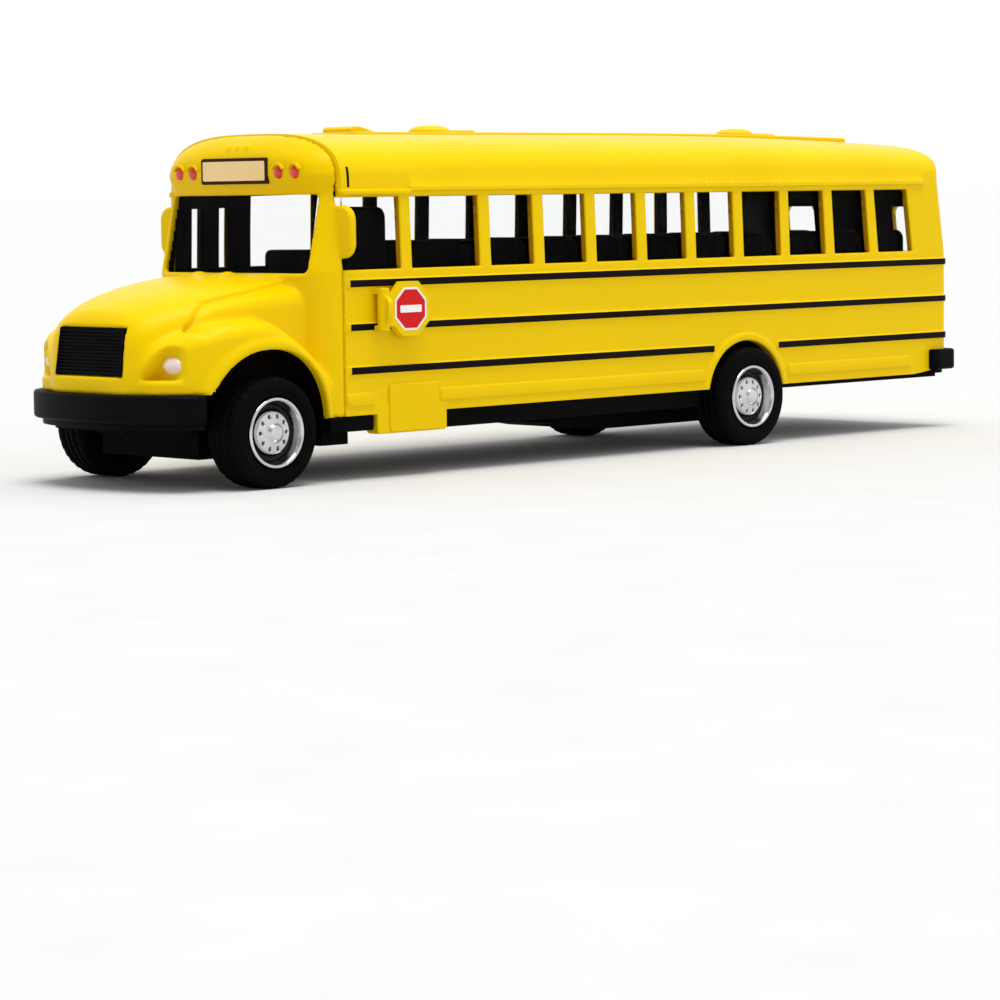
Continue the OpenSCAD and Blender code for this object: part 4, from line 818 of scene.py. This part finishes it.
def skin(field, low, high, step):
    """Surface nets: vertices and quads where the field changes sign."""
    axes = [np.arange(a, b + step, step) for a, b in zip(low, high)]
    value = field(*np.meshgrid(*axes, indexing="ij"))
    shape = tuple(n - 1 for n in value.shape)
    total = np.zeros(shape + (3,))
    count = np.zeros(shape)
    for axis, u, v in ((0, 1, 2), (1, 0, 2), (2, 0, 1)):
        for p, q in ((0, 0), (0, 1), (1, 0), (1, 1)):
            start = [slice(0, n) for n in shape]
            start[u] = slice(p, shape[u] + p)
            start[v] = slice(q, shape[v] + q)
            stop = list(start)
            stop[axis] = slice(1, shape[axis] + 1)
            a, b = value[tuple(start)], value[tuple(stop)]
            cross = (a < 0) != (b < 0)
            total[..., axis] += np.where(cross, a / np.where(cross, a - b, 1), 0)
            total[..., u] += cross * p
            total[..., v] += cross * q
            count += cross
    used = count > 0
    index = np.full(shape, -1)
    index[used] = np.arange(used.sum())
    cells = np.argwhere(used)
    verts = (cells + total[used] / count[used][:, None]) * step + np.array(low)
    quads = []
    for axis, u, v in ((0, 1, 2), (1, 2, 0), (2, 0, 1)):
        start = [slice(1, -1)] * 3
        start[axis] = slice(0, value.shape[axis] - 1)
        stop = list(start)
        stop[axis] = slice(1, value.shape[axis])
        a, b = value[tuple(start)], value[tuple(stop)]
        for inward in (True, False):
            hits = np.argwhere((a < 0) & (b >= 0) if inward else (a >= 0) & (b < 0))
            hits[:, [u, v]] += 1
            around = []
            for du, dv in ((-1, -1), (0, -1), (0, 0), (-1, 0)):
                cell = hits.copy()
                cell[:, u] += du
                cell[:, v] += dv
                around.append(index[tuple(cell.T)])
            quad = np.stack(around, axis=1)
            quads.append(quad if inward else quad[:, ::-1])
    return verts, np.concatenate(quads)


def settle(field, verts, rounds=3, reach=0.2, h=0.02, least_slope=0.2):
    """Draw vertices on to the field's zero level."""
    for _ in range(rounds):
        value = field(*verts.T)
        slope = np.zeros_like(verts)
        for k in range(3):
            ahead, behind = verts.copy(), verts.copy()
            ahead[:, k] += h
            behind[:, k] -= h
            slope[:, k] = (field(*ahead.T) - field(*behind.T)) / (2 * h)
        norm = np.maximum((slope ** 2).sum(axis=1), least_slope)
        move = -slope * (value / norm)[:, None]
        size = np.linalg.norm(move, axis=1, keepdims=True)
        verts = verts + move * np.minimum(1, reach / np.maximum(size, 1e-9))
    return verts


front_verts, front_quads = skin(
    front_field, low=(64.2, -27.2, 2.4), high=(106.4, 27.2, 63.6), step=0.45
)
front_verts = settle(front_field, front_verts)
mid_x, mid_y, mid_z = front_verts[front_quads].mean(axis=1).T
in_cab = cab_field(mid_x, np.abs(mid_y), mid_z) < -WALL + CAB_MARGIN
in_cab &= mid_z > SKIRT_Z - SKIRT_MARGIN
in_well = (arch_field(mid_x, mid_z) < WELL_MARGIN) & (np.abs(mid_y) < WELL_RIM_Y)
# Faces inside the cab and in the wheel wells take the near-black painted shade
make_piece(
    "front_casting_skin", front_verts, [tuple(int(i) for i in q) for q in front_quads],
    [yellow, inside_painted_shade], "bus", ["front_casting"], in_cab | in_well,
    weighted=False,
)


# Detail pieces

DOME_LEVELS = [(1.0, -0.4)] + arc((0, 0), 1, np.linspace(0, pi / 2, 9))
RIM_FOOT = -0.6


def outward(verts, faces):
    """Merge doubled points and turn every face outwards."""
    bm = bmesh.new()
    points = [bm.verts.new(v) for v in verts]
    for face in faces:
        bm.faces.new([points[i] for i in face])
    bmesh.ops.remove_doubles(bm, verts=bm.verts, dist=1e-4)
    bmesh.ops.dissolve_degenerate(bm, edges=bm.edges, dist=1e-5)
    bmesh.ops.recalc_face_normals(bm, faces=bm.faces)
    return lists_of(bm)


def stacked(centre, levels, steps):
    """Circles about an upright line, from (radius, level) pairs."""
    return [(*point, z) for r, z in levels for point in arc(centre, r, circle(steps))]


def dome(place, radii, facing, steps=24):
    """Half an ellipsoid standing on a wall square to X, with a short skirt behind it."""
    verts = []
    for across, out in DOME_LEVELS:
        x = place[0] + facing * radii[0] * out
        for a in circle(steps):
            y = place[1] + radii[1] * across * cos(a)
            verts.append((x, y, place[2] + radii[2] * across * sin(a)))
    return outward(verts, grid_faces(len(DOME_LEVELS), steps, True) + [tuple(range(steps))])


def rim(place, inner, outer, height, facing, steps=28):
    """A round rim on a wall square to X."""
    profile = (
        (inner, RIM_FOOT), (inner, height - 0.1), (inner + 0.1, height), (outer - 0.2, height),
        (outer, -0.1), (outer, RIM_FOOT), (inner, RIM_FOOT),
    )
    verts = []
    for radius, out in profile:
        x = place[0] + facing * out
        verts.extend((x, *point) for point in arc(place[1:], radius, circle(steps)))
    return outward(verts, grid_faces(len(profile), steps, True))


def swept(path, section):
    """A bar along a plan path, from an outline of (outward, height) points."""
    path = np.asarray(path, dtype=float)
    along = np.gradient(path, axis=0)
    normal = np.stack([along[:, 1], -along[:, 0]], axis=1)
    normal /= np.linalg.norm(normal, axis=1, keepdims=True)
    verts = []
    for point, out in zip(path, normal):
        for u, z in section:
            verts.append((point[0] + out[0] * u, point[1] + out[1] * u, z))
    count = len(section)
    last = (len(path) - 1) * count
    faces = grid_faces(len(path), count, True)
    faces += [tuple(range(count)), tuple(range(last, last + count))]
    return outward(verts, faces)


def octagon(centre, across):
    radius = across / 2 / cos(pi / 8)
    return arc(centre, radius, pi / 8 + pi / 4 * np.arange(8))


# Roof strip, hatches and scoop, which follow the fall of the roof

STRIP_XS, STRIP_HW, STRIP_Z = np.linspace(-93.6, 46.5, 40), 6.5, 62.3
STRIP_FALL = 0.6
HATCH_XS, HATCH_STEPS = (22.0, -65.3), 48
HATCH_LEVELS = ((4.0, -1.0), (4.0, 0.25), (3.7, 0.7), (3.0, 1.1), (1.8, 1.35), (0.0, 1.45))
HATCH_BACK, HATCH_AHEAD, HATCH_HW = 9.2, 2.0, 3.4
SCOOP = ((36.5, -0.6), (45.6, -0.6), (45.6, 0.7), (44.9, 1.05), (43.4, 1.1))


def on_roof(part):
    return [(x, y, z - STRIP_FALL * roof_drop(x, ROOF_Z)) for x, y, z in part[0]], part[1]


strip = [(x, -STRIP_HW) for x in STRIP_XS] + [(x, STRIP_HW) for x in STRIP_XS[::-1]]
roof_parts = [prism(strip, low=59.0, high=STRIP_Z, axis=2, edge=0.35)]
lid_faces = grid_faces(len(HATCH_LEVELS), HATCH_STEPS, True) + [tuple(range(HATCH_STEPS))]
for x in HATCH_XS:
    lid = stacked((x, 0), [(r, STRIP_Z + rise) for r, rise in HATCH_LEVELS], HATCH_STEPS)
    ends = (x - HATCH_BACK, -HATCH_HW), (x - HATCH_AHEAD, HATCH_HW)
    roof_parts.append(outward(lid, lid_faces))
    roof_parts.append(plate(*ends, 0.8, (STRIP_Z - 1, STRIP_Z + 0.45), axis=2, edge=0.25))
scoop = [(x, STRIP_Z + rise) for x, rise in SCOOP]
roof_parts.append(prism(scoop, low=-4.0, high=4.0, axis=1, edge=0.3))
solid("roof_fittings", joined([on_roof(p) for p in roof_parts]), yellow)

# Short dark notches on the roof's shoulders

NOTCH_XS, NOTCH_ZS, NOTCH_ROWS = (63.9, 64.4), (52.1, 55.7), 9
NOTCH_LIFTS, NOTCH_TILT = (-0.4, 0.06), 0.3


def notch(s):
    """A thin curved plate let into one shoulder."""
    verts = []
    for lift in NOTCH_LIFTS:
        for x in NOTCH_XS:
            for z in np.linspace(*NOTCH_ZS, NOTCH_ROWS):
                y = EAVE_HW * (1 - ((z - EAVE_Z) / ROOF_RISE) ** ROOF_POWER) ** (1 / ROOF_POWER)
                verts.append((x, s * (y + lift), z + lift * NOTCH_TILT))
    over = 2 * NOTCH_ROWS
    last = NOTCH_ROWS - 1
    faces = grid_faces(2, NOTCH_ROWS)
    faces += [tuple(i + over for i in f) for f in faces]
    for row in (0, NOTCH_ROWS):
        faces += [(i, i + 1, i + 1 + over, i + over) for i in range(row, row + last)]
    faces += [(i, i + NOTCH_ROWS, i + NOTCH_ROWS + over, i + over) for i in (0, last)]
    return outward(verts, faces)


solid("roof_notches", joined([notch(s) for s in (-1, 1)]), band_black)

# Battery box on the left and step well on the right: corners, radius, depth and edge

LOW_PLATES = (
    ((41.5, 8.0), (58.6, 13.4), 0.7, (21.2, 24.32), 0.2),
    ((43.6, 8.2), (55.8, 16.9), 0.8, (23.2, 24.65), 0.25),
    ((49.6, 4.6), (65.6, 12.2), 0.6, (-24.75, -23.2), 0.2),
    ((41.4, 12.8), (50.2, 16.4), 0.5, (-24.75, -23.4), 0.2),
    ((41.4, 17.0), (50.2, 20.6), 0.5, (-24.75, -23.4), 0.2),
)
STEP_WELL = ((44.3, 13.0), (44.3, 11.4), (48.7, 4.3), (65.9, 4.3), (65.9, 13.0))
low_parts = [plate(low, high, r, depth, 1, edge) for low, high, r, depth, edge in LOW_PLATES]
low_parts.append(prism(STEP_WELL, low=-24.35, high=-21.2, axis=1, edge=0.25))
solid("box_and_step", joined(low_parts), yellow)

# Stop sign's hinge lugs, print and pin, and the rail under the cab's sill

SIGN, SIGN_FACE = (52.0, 30.3), 26.3
PRINT_DEPTH = 0.2
HINGE = (58.2, 25.85)
LUG_R, LUG_FOOT_Y, LUG_ZS = 1.1, 23.2, ((26.5, 27.5), (33.1, 34.1))
PIN_STEPS = 24
PIN_LEVELS = ((0.0, 26.4), (0.5, 26.4), (0.62, 26.55), (0.62, 34.05), (0.5, 34.2), (0.0, 34.2))

lug = [(HINGE[0] - LUG_R, LUG_FOOT_Y), (HINGE[0] + LUG_R, LUG_FOOT_Y)]
lug += arc(HINGE, LUG_R, np.linspace(0, pi, 13))
solid("hinge_lugs", joined([prism(lug, *zs, 2, 0.15) for zs in LUG_ZS]), yellow)
for name, outline, rise, colour in (
    ("sign_border", octagon(SIGN, 7.7), 0.05, print_white),
    ("sign_field", octagon(SIGN, 6.9), 0.09, print_red),
    ("sign_bar", rounded_box((49.4, 29.65), (54.6, 30.95), 0.15), 0.13, print_white),
):
    layer = prism(outline, SIGN_FACE - PRINT_DEPTH, SIGN_FACE + rise, axis=1, edge=0.02)
    solid(name, layer, colour, "sign")
pin_faces = grid_faces(len(PIN_LEVELS), PIN_STEPS, True)
pin = outward(stacked(HINGE, PIN_LEVELS, PIN_STEPS), pin_faces)
solid("hinge_pin", pin, yellow, nodes=["stop_sign_pin"])
rail = plate((59.0, 8.8), (69.4, 11.5), 0.4, (19.0, 23.8), axis=1, edge=0.25)
solid("cab_sill_rail", rail, chassis)

# Destination panels: half width, levels, corner radius, depth from the wall and edge

CAP_FACE = 70.4
REAR_FACE = REAR_X + REAR_LEAN
PANELS = (
    ("front_panel_frame", CAP_FACE, 9.2, 52.9, 57.6, 0.5, (-1.2, 0.25), 0.15, print_brown),
    ("front_panel_field", CAP_FACE, 8.6, 53.5, 57.0, 0.3, (-0.8, 0.32), 0.03, print_cream),
    ("rear_panel_frame", REAR_FACE, 9.0, 53.1, 57.4, 1.2, (-0.35, 0.6), 0.12, print_brown),
    ("rear_panel_field", REAR_FACE, 8.4, 53.7, 56.8, 0.9, (-0.42, 0.4), 0.03, print_white),
)
for name, face, half, low, high, corner, depth, edge, colour in PANELS:
    panel = plate((-half, low), (half, high), corner, [face + d for d in depth], 0, edge)
    solid(name, panel, colour)

# Warning lamps and tail lamps with their hoods and rims

WARNING_Z, TAIL_Z, PLATE_LAMP_Z = 54.9, 30.5, 23.9
FRONT_LAMPS = ((70.25, 11.9), (70.0, 16.0))
HOOD_ANGLES = np.linspace(radians(20), radians(160), 15)
HOOD_RADII = (1.75, 1.3)
# Wall, place across, level, radius, and the rim's radius and height
REAR_LAMPS = [(REAR_FACE, s * y, WARNING_Z, 1.05, 1.6, 0.35) for s in (-1, 1) for y in (14.5, 18.3)]
REAR_LAMPS += [(REAR_X, s * y, TAIL_Z, 1.1, 1.75, 0.4) for s in (-1, 1) for y in (13.2, 17.7)]
REAR_LAMPS += [(REAR_X, y, PLATE_LAMP_Z, 1.1, 1.7, 0.4) for y in (17.7, -13.2)]
REAR_MARKER_X, REAR_MARKER_Z = REAR_FACE + 0.25, 58.7

front_lamps, rear_lamps, hoods = [], [], []
for s in (-1, 1):
    for x, y in FRONT_LAMPS:
        front_lamps.append(dome((x, s * y, WARNING_Z), radii=(0.45, 1.15, 1.15), facing=1))
        hood = arc((s * y, WARNING_Z), HOOD_RADII[0], HOOD_ANGLES)
        hood += arc((s * y, WARNING_Z), HOOD_RADII[1], HOOD_ANGLES[::-1])
        hoods.append(prism(hood, low=x - 0.8, high=x + 0.5, axis=0, edge=0.1))
for *place, radius, rim_r, rim_h in REAR_LAMPS:
    rear_lamps.append(dome(place, radii=(0.5, radius, radius), facing=-1))
    hoods.append(rim(place, radius, rim_r, rim_h, -1))
for y in MARKER_YS:
    place = (REAR_MARKER_X, y, REAR_MARKER_Z)
    hoods.append(dome(place, radii=(0.6, 0.75, 0.5), facing=-1))
solid("front_warning_lamps", joined(front_lamps), lamp_red)
solid("rear_lamps", joined(rear_lamps), lamp_red)
solid("lamp_hoods", joined(hoods), yellow)

# Round corners of the rear windows

CORNER_R, CORNER_OVER, CORNER_UP = 1.7, 0.1, 0.6
corners = []
for s in (-1, 1):
    for y, inward in zip(REAR_WINDOW_Y, (1, -1)):
        for z, upward in ((SILL_Z, 1), (REAR_HEAD_Z, -1)):
            cy, cz = y + inward * CORNER_R, z + upward * CORNER_R
            outline = [(s * (y - inward * CORNER_OVER), z - upward * CORNER_OVER)]
            for a in np.linspace(0, pi / 2, 7):
                across = cy - inward * CORNER_R * cos(a)
                outline.append((s * across, cz - upward * CORNER_R * sin(a)))
            lean = (z + upward * CORNER_UP - BELT_Z) / (EAVE_Z - BELT_Z)
            wall_x = REAR_X + REAR_LEAN * lean
            corners.append(prism(outline, wall_x + 0.05, wall_x + 1.2, axis=0, edge=0.03))
solid("rear_window_corners", joined(corners), yellow)

# Headlamps

for y, name in ((16.6, "headlamp_left"), (-16.6, "headlamp_right")):
    lens = dome(place=(98.4, y, 21.9), radii=(1.9, 2.7, 1.7), facing=1)
    solid(name + "_lens", lens, lamp_white, nodes=[name])

# Grille: a back plate with bars across it and a post at each end

BAR_COUNT, BAR_HALF, BAR_MARGIN = 13, 0.17, 0.7
POST_HALF, POST_IN = 0.22, 0.35
GRILLE_GAP = 0.1
half, low, high, back = GRILLE
wide, foot, top = half - GRILLE_GAP, low + GRILLE_GAP, high - GRILLE_GAP
sheet = [(-wide, foot), (wide, foot), (wide, top), (-wide, top)]
bars = [prism(sheet, back + 0.05, back + 0.6, axis=0, edge=0.1)]
for i in range(BAR_COUNT):
    z = low + BAR_MARGIN + (high - low - 2 * BAR_MARGIN) * i / (BAR_COUNT - 1)
    ends = (-wide, z - BAR_HALF), (wide, z + BAR_HALF)
    bars.append(plate(*ends, 0.12, (back + 0.3, back + 1.1), axis=0, edge=0.06, steps=2))
for y in (-half + POST_IN, half - POST_IN):
    ends = (y - POST_HALF, foot), (y + POST_HALF, top)
    bars.append(plate(*ends, 0.15, (back + 0.3, back + 1.2), axis=0, edge=0.08, steps=2))
bar_verts, bar_faces = joined(bars)
bar_verts = [
    (x - GRILLE_LEAN * (z - low), y * (1 - GRILLE_TAPER * (z - low) / half), z)
    for x, y, z in bar_verts
]
solid("grille_bars", (bar_verts, bar_faces), grille_black, nodes=["grille"])

# Front bench on the right, behind the door

bench_back = plate((-21.4, 27.6), (-8.0, 40.5), 1.4, (43.4, 45.6), axis=0, edge=0.5)
bench_seat = plate((45.2, 27.6), (50.6, 32.6), 0.9, (-21.0, -8.2), axis=1, edge=0.5)
solid("front_bench", joined([bench_back, bench_seat]), seat_black)

# Front bumper: a bow with a filler behind it

BOW_X, BOW_REACH, BOW_HW, BOW_POWER = 96.6, 9.7, 22.8, 2 / 2.1
FILLER_X, FILLER_IN, FILLER_SHARE = 97.0, 1.2, 0.95

front_path = []
for a in np.linspace(-pi / 2, pi / 2, 97):
    across = copysign(abs(sin(a)) ** BOW_POWER, sin(a))
    front_path.append((BOW_X + BOW_REACH * abs(cos(a)) ** BOW_POWER, BOW_HW * across))
front_bar = swept(front_path, rounded_box((-1.7, 11.9), (0.0, 16.85), 0.65))
filler = [(x - FILLER_IN, y * FILLER_SHARE) for x, y in front_path if x > FILLER_X]
front_bar = joined([front_bar, prism(filler, low=10.8, high=16.6, axis=2, edge=0.1)])
solid("front_bumper_bar", front_bar, black, nodes=["front_bumper"])

# Rear bumper: a straight bar with round corners and short arms, and a tongue under the wall

ARM_XS, ARM_Y = (-99.4, -101.5, -103.5), 25.75
BEND, BEND_R = (-105.2, 23.3), 2.45
BAR_X, BAR_HW = -107.65, 22.0
turn = [(x, ARM_Y) for x in ARM_XS]
for a in np.linspace(0.05, pi / 2, 10):
    turn.append((BEND[0] - BEND_R * sin(a), BEND[1] + BEND_R * cos(a)))
rear_path = turn + [(BAR_X, -y) for y in np.linspace(-BAR_HW, BAR_HW, 23)]
rear_path += [(x, -y) for x, y in reversed(turn)]
rear_bar = swept(rear_path, rounded_box((-1.6, 12.3), (0.0, 16.6), 0.6))
tongue = [(-106.8, -BAR_HW), (-104.2, -BAR_HW), (-104.2, BAR_HW), (-106.8, BAR_HW)]
rear_bar = joined([rear_bar, prism(tongue, low=11.3, high=12.8, axis=2, edge=0.2)])
solid("rear_bumper_bar", rear_bar, black, nodes=["rear_bumper"])

# Wheels

TYRE_OUT = {"front": 25.4, "rear": 26.2}
TYRE_W = 8.0
TYRE_STEPS = 144
TYRE_SIDE = (
    (6.3, 0.9), (6.45, 0.35), (6.9, 0.12), (7.5, 0.3), (7.65, 0.12), (8.3, 0.05),
    (8.5, 0.25), (9.0, 0.2), (9.35, 0.45),
)
TYRE_TREAD = (
    (9.7, 0.9), (9.75, 1.5), (9.75, 2.2), (9.35, 2.35), (9.35, 2.75), (9.75, 2.9),
    (9.75, 3.75), (9.35, 3.85),
)
SHOULDER_R, SHOULDER_W = 9.5, 1.6
CUT_DEPTH, CUT_EVERY = 0.3, 4
HUB_STEPS = 180
HUB_OUT = 0.1
HUB_FACE = (
    (0.0, 0.0), (0.8, 0.03), (1.2, 0.12), (1.45, 0.35), (1.6, 0.75), (2.2, 0.9), (2.5, 0.95),
    (3.0, 1.0), (3.5, 1.08), (3.75, 1.3), (3.9, 2.0), (4.1, 2.5), (4.9, 2.5), (5.2, 2.0),
    (5.45, 0.8), (5.6, 0.2), (5.8, 0.0), (6.05, 0.02), (6.22, 0.3),
)
HUB_BACK = ((6.28, 1.0), (6.28, 6.5), (0.0, 6.5))
# Painted shade on the hub: the back beyond this depth, and this ring of the dish
HUB_BACK_SHADE = 2
SHADE_RING = (3.8, 5.25)
HOLE_ROWS = np.arange(2.5, 3.45, 0.09)
HOLE_COUNT, HOLE_RING, HOLE_R = 10, 2.95, 0.4
HOLE_DEPTH, HOLE_SLOPE = 0.9, 0.16


def wheel_point(place, facing, r, a, depth):
    (x, z), = arc((place[0], place[2]), r, [a])
    return x, place[1] - facing * depth, z


def hub_shape(place, facing):
    """Dished wheel face with a ring of small holes, and a plain back; the holes, a ring of the dish
    and the deep back get painted shade and painted dark reflection.
    """
    known = np.array(HUB_FACE)
    radii = sorted({p[0] for p in HUB_FACE} | {round(float(r), 3) for r in HOLE_ROWS})
    verts, shaded = [], []

    def add(r, a, depth, is_shaded):
        verts.append(wheel_point(place, facing, r, a, depth))
        shaded.append(is_shaded)

    for r in radii:
        depth = float(np.interp(r, known[:, 0], known[:, 1]))
        for a in circle(HUB_STEPS):
            spoke = round(a * HOLE_COUNT / (2 * pi)) * 2 * pi / HOLE_COUNT
            away = hypot(r * cos(a - spoke) - HOLE_RING, r * sin(a - spoke))
            sink = HOLE_DEPTH * min(1.0, max(0.0, (HOLE_R - away) / HOLE_SLOPE))
            add(r, a, depth + sink, sink > 0.5 or SHADE_RING[0] < r < SHADE_RING[1])
    for r, depth in HUB_BACK:
        for a in circle(HUB_STEPS):
            add(r, a, depth, depth > HUB_BACK_SHADE)
    faces = grid_faces(len(radii) + len(HUB_BACK), HUB_STEPS, True)
    slots = [1 if sum(shaded[i] for i in f) >= 3 else 0 for f in faces]
    return verts, facing_out(faces, facing), slots


def tyre_shape(place, facing):
    """Tyre section turned round, with a cut tread on its shoulders."""
    profile = list(TYRE_SIDE + TYRE_TREAD)
    profile += [(r, TYRE_W - d) for r, d in reversed(profile)]
    verts = []
    for r, depth in profile:
        shoulder = r > SHOULDER_R and not SHOULDER_W <= depth <= TYRE_W - SHOULDER_W
        for i, a in enumerate(circle(TYRE_STEPS)):
            radius = r - CUT_DEPTH if shoulder and i % CUT_EVERY == 0 else r
            verts.append(wheel_point(place, facing, radius, a, depth))
    faces = grid_faces(len(profile), TYRE_STEPS, True)
    last = (len(profile) - 1) * TYRE_STEPS
    for i in range(TYRE_STEPS):
        k = (i + 1) % TYRE_STEPS
        faces.append((last + i, last + k, k, i))
    return verts, facing_out(faces, facing)


def facing_out(faces, facing):
    return faces if facing > 0 else [f[::-1] for f in faces]


for end, x in (("front", FRONT_AXLE_X), ("rear", REAR_AXLE_X)):
    for side, facing in (("left", 1), ("right", -1)):
        hub, tyre, rider = f"hub_{end}_{side}", f"tyre_{end}_{side}", end + "_wheels"
        verts, faces, slots = hub_shape((x, facing * (TYRE_OUT[end] + HUB_OUT), AXLE_Z), facing)
        # Chrome, and near-black metal as painted shade
        metals = [chrome, hub_painted_shade]
        make_piece(hub + "_wheel", verts, faces, metals, rider, [hub], slots)
        verts, faces = tyre_shape((x, facing * TYRE_OUT[end], AXLE_Z), facing)
        make_piece(tyre + "_rubber", verts, faces, [rubber], rider, [tyre])

# Finishes and soft edges of the nodes that carry over from the part


def finish_node(name, material, edge):
    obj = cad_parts[name]
    obj.data.materials.clear()
    obj.data.materials.append(material)
    smooth(obj.data)
    welded(obj, distance=0.002)
    if edge:
        flat = obj.modifiers.new("flat", "DECIMATE")
        flat.decimate_type = "DISSOLVE"
        flat.angle_limit = radians(1)
        bevel = obj.modifiers.new("edges", "BEVEL")
        bevel.width = edge * MM
        bevel.segments = 3
        bevel.limit_method = "ANGLE"
        bevel.angle_limit = radians(30)
    weighted_normals(obj)


NODE_FINISHES = (
    (chassis, ("chassis_base",), 0.3),
    (seat_black, ("seat_tray", "driver_seat"), 0.5),
    (yellow, ("stop_sign",), 0.25),
    (clear, ("windscreen_glazing", "glazing_left", "glazing_right", "rear_glazing"), 0),
    # The steel screws are drawn black as painted shade, so they show no glint
    (black, ("chassis_screws",), 0.08),
    (steel, ("front_axle", "rear_axle", "idler_shaft", "spring_arbor"), 0.08),
    (steel, ("mainspring",), 0),
    (motor_grey, ("motor_case_left", "motor_case_right"), 0.15),
    (gear_white, ("axle_pinion", "idler_gear", "spring_gear"), 0),
)
for material, names, edge in NODE_FINISHES:
    for name in names:
        finish_node(name, material, edge)


# Camera, floor and lights

SURROUND_LEAST, SURROUND_SLOPE = 0.25, 3.0
SUN_DIRECTION = Vector((-0.08, -0.16, -1))


def make_surround():
    """Even studio light, dimmer above the bus's front."""
    world = bpy.data.worlds.new("studio")
    world.use_nodes = True
    tree = world.node_tree
    kinds = ("TexCoord", "SeparateXYZ", "Math", "Math", "MapRange")
    toward, parts, height, ahead, dim = [tree.nodes.new("ShaderNode" + kind) for kind in kinds]
    height.operation = ahead.operation = "MULTIPLY"
    height.use_clamp = True
    height.inputs[1].default_value = SURROUND_SLOPE
    set_inputs(dim, {"To Min": 1.0, "To Max": SURROUND_LEAST})
    background = tree.nodes["Background"]
    set_inputs(background, {"Color": (1, 1, 1, 1)})
    tree.links.new(toward.outputs["Generated"], parts.inputs["Vector"])
    tree.links.new(parts.outputs["Z"], height.inputs[0])
    tree.links.new(parts.outputs["X"], ahead.inputs[0])
    tree.links.new(height.outputs["Value"], ahead.inputs[1])
    tree.links.new(ahead.outputs["Value"], dim.inputs["Value"])
    tree.links.new(dim.outputs["Result"], background.inputs["Strength"])
    bpy.context.scene.world = world


make_camera()
make_surround()
bpy.context.scene.view_settings.view_transform = "Standard"

floor_mesh = bpy.data.meshes.new("floor")
corners = [(-60, -60, 0), (60, -60, 0), (60, 60, 0), (-60, 60, 0)]
floor_mesh.from_pydata(corners, [], [(0, 1, 2, 3)])
floor_mesh.materials.append(
    moulding("floor", (0.62, 0.62, 0.618), (0.64, 0.64, 0.638), 1.0, 60, 0.01)
)
link(bpy.data.objects.new("floor", floor_mesh))

# Broad light from above and a little to the left
sun = bpy.data.lights.new("overhead", "SUN")
sun.energy = 2.3
sun.angle = radians(35)
overhead = link(bpy.data.objects.new("overhead", sun))
overhead.matrix_world = SUN_DIRECTION.to_track_quat("-Z", "Y").to_matrix().to_4x4()
